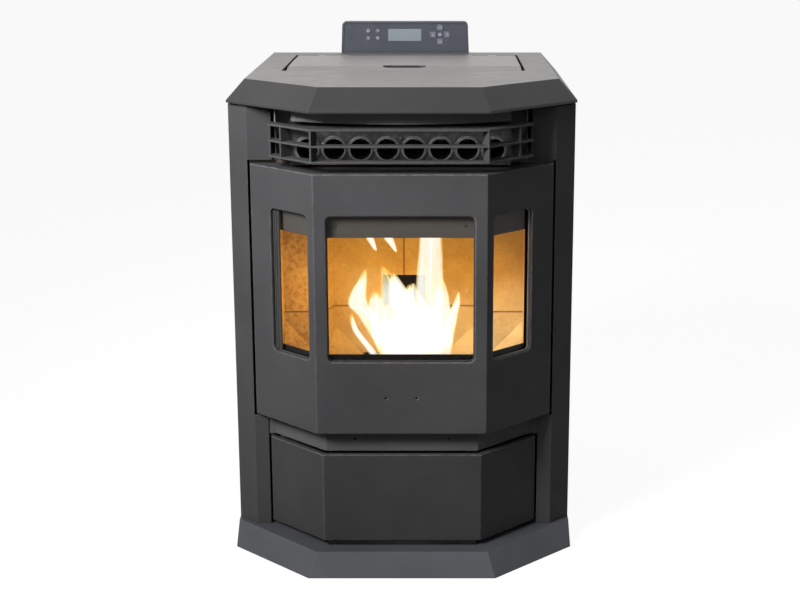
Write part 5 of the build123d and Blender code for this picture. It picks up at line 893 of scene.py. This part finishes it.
GLYPHS = {
    "key_round_1": [(arc(2.3, 120, 420), 0.5), ([(0, 0.6), (0, 3.0)], 0.5)],
    "key_round_2": [([(-2.4, 0), (2.4, 0)], 0.55), ([(0, -2.4), (0, 2.4)], 0.55)],
    "key_round_3": [([(-2.4, 0), (2.4, 0)], 0.55)],
    "key_round_4": [(arc(2.2, 0, 360, 28), 0.5), (arc(0.5, 0, 360, 12), 0.6)],
    "key_up": [([(-3.2, -1.4), (0, 2.0), (3.2, -1.4)], 0.7)],
    "key_down": [([(-3.2, 1.4), (0, -2.0), (3.2, 1.4)], 0.7)],
    "key_left": [([(1.4, -3.2), (-2.0, 0), (1.4, 3.2)], 0.7)],
    "key_right": [([(-1.4, -3.2), (2.0, 0), (-1.4, 3.2)], 0.7)],
    "key_centre": [(arc(2.0, 0, 360, 28), 0.6)],
}
for name, strokes in GLYPHS.items():
    low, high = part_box(name)
    middle_x, middle_z = (low.x + high.x) * 500, (low.z + high.z) * 500
    flat_vertices, flat_faces = joined([stroke(points, width) for points, width in strokes])
    vertices = [Vector(((middle_x + x) / 1000, low.y - 0.00006, (middle_z + z) / 1000)) for x, z in flat_vertices]
    piece(name + "_symbol", vertices, [f[::-1] for f in flat_faces], name, legend, "key_plastic", smooth=False)


# ---------------------------------------------------------------- floor, world, light and camera
def seen_directly(tree):
    """1 for camera, glossy and transmission rays."""
    rays = node(tree, "LightPath").outputs
    first = maths(tree, "MAXIMUM", rays["Is Camera Ray"], rays["Is Glossy Ray"])
    return maths(tree, "MAXIMUM", first, rays["Is Transmission Ray"])


floor_white, tree = new_material("floor_white")
fleck = noise(tree, place(tree), 40.0, 3.0)
pale = ramp(tree, fleck, [(0.3, grey(0.17)), (0.7, grey(0.19))])
matt = node(tree, "BsdfDiffuse", {"Color": pale})
lit = node(tree, "Emission", {"Color": grey(1.0), "Strength": maths(tree, "MULTIPLY", seen_directly(tree), 0.93)})
both = node(tree, "AddShader", {0: matt.outputs[0], 1: lit.outputs[0]})
node(tree, "OutputMaterial", {"Surface": both.outputs[0]})
floor_mesh = bpy.data.meshes.new("floor")
floor_mesh.from_pydata([(-40, -12, 0), (40, -12, 0), (40, 60, 0), (-40, 60, 0)], [], [(0, 1, 2, 3)])
floor = bpy.data.objects.new("floor", floor_mesh)
floor_mesh.materials.append(floor_white)
bpy.context.scene.collection.objects.link(floor)

world = bpy.data.worlds.new("studio")
bpy.context.scene.world = world
world.use_nodes = True
tree = world.node_tree
tree.nodes.clear()
strength = node(tree, "MapRange", {"Value": seen_directly(tree), "To Min": 0.09, "To Max": 1.0}).outputs[0]
sky = node(tree, "Background", {"Color": grey(1.0), "Strength": strength})
node(tree, "OutputWorld", {"Surface": sky.outputs[0]})


def lamp(name, kind, position, energy, size, colour=(1, 1, 1), target=None):
    data = bpy.data.lights.new(name, kind)
    data.energy = energy
    data.color = colour
    if kind == "AREA":
        data.shape = "RECTANGLE"
        data.size, data.size_y = size
    else:
        data.shadow_soft_size = size
    made = bpy.data.objects.new(name, data)
    made.location = position
    if target is not None:
        made.rotation_euler = (Vector(target) - Vector(position)).to_track_quat("-Z", "Y").to_euler()
    bpy.context.scene.collection.objects.link(made)
    made.visible_camera = False
    return made


key = lamp("key", "AREA", (-1.45, -1.85, 1.95), 17.5, (0.9, 0.9), (1.0, 0.985, 0.98), (0, -0.2, 1.1))
key.data.spread = math.radians(70)
lamp("front", "AREA", (-0.3, -2.6, 1.9), 6, (1.4, 0.8), (0.92, 0.95, 1.0), (0, -0.2, 0.4))
lamp("top", "AREA", (0.1, 0.7, 2.4), 9, (1.6, 1.6), (1, 1, 1), (0, 0, 0.8))
for index, (x, depth, z, energy) in enumerate([(0, 160, 400, 0.31), (-122, 122, 440, 0.40), (122, 122, 440, 0.31),
                                              (0, 150, 550, 0.15)]):
    lamp(f"fire_{index}", "POINT", at(x, depth, z), energy, 0.03, (1.0, 0.52, 0.10))

camera_data = bpy.data.cameras.new("camera")
camera_data.sensor_width = 36.0
camera_data.lens = 70.7
camera_data.shift_x = -0.0491
camera_data.clip_end = 200
camera = bpy.data.objects.new("camera", camera_data)
camera.location = (0.0621, -2.780, 1.077)
camera.rotation_euler = (math.radians(90 - 13.96), 0, 0)
bpy.context.scene.collection.objects.link(camera)
bpy.context.scene.camera = camera
bpy.context.scene.view_settings.view_transform = "Standard"
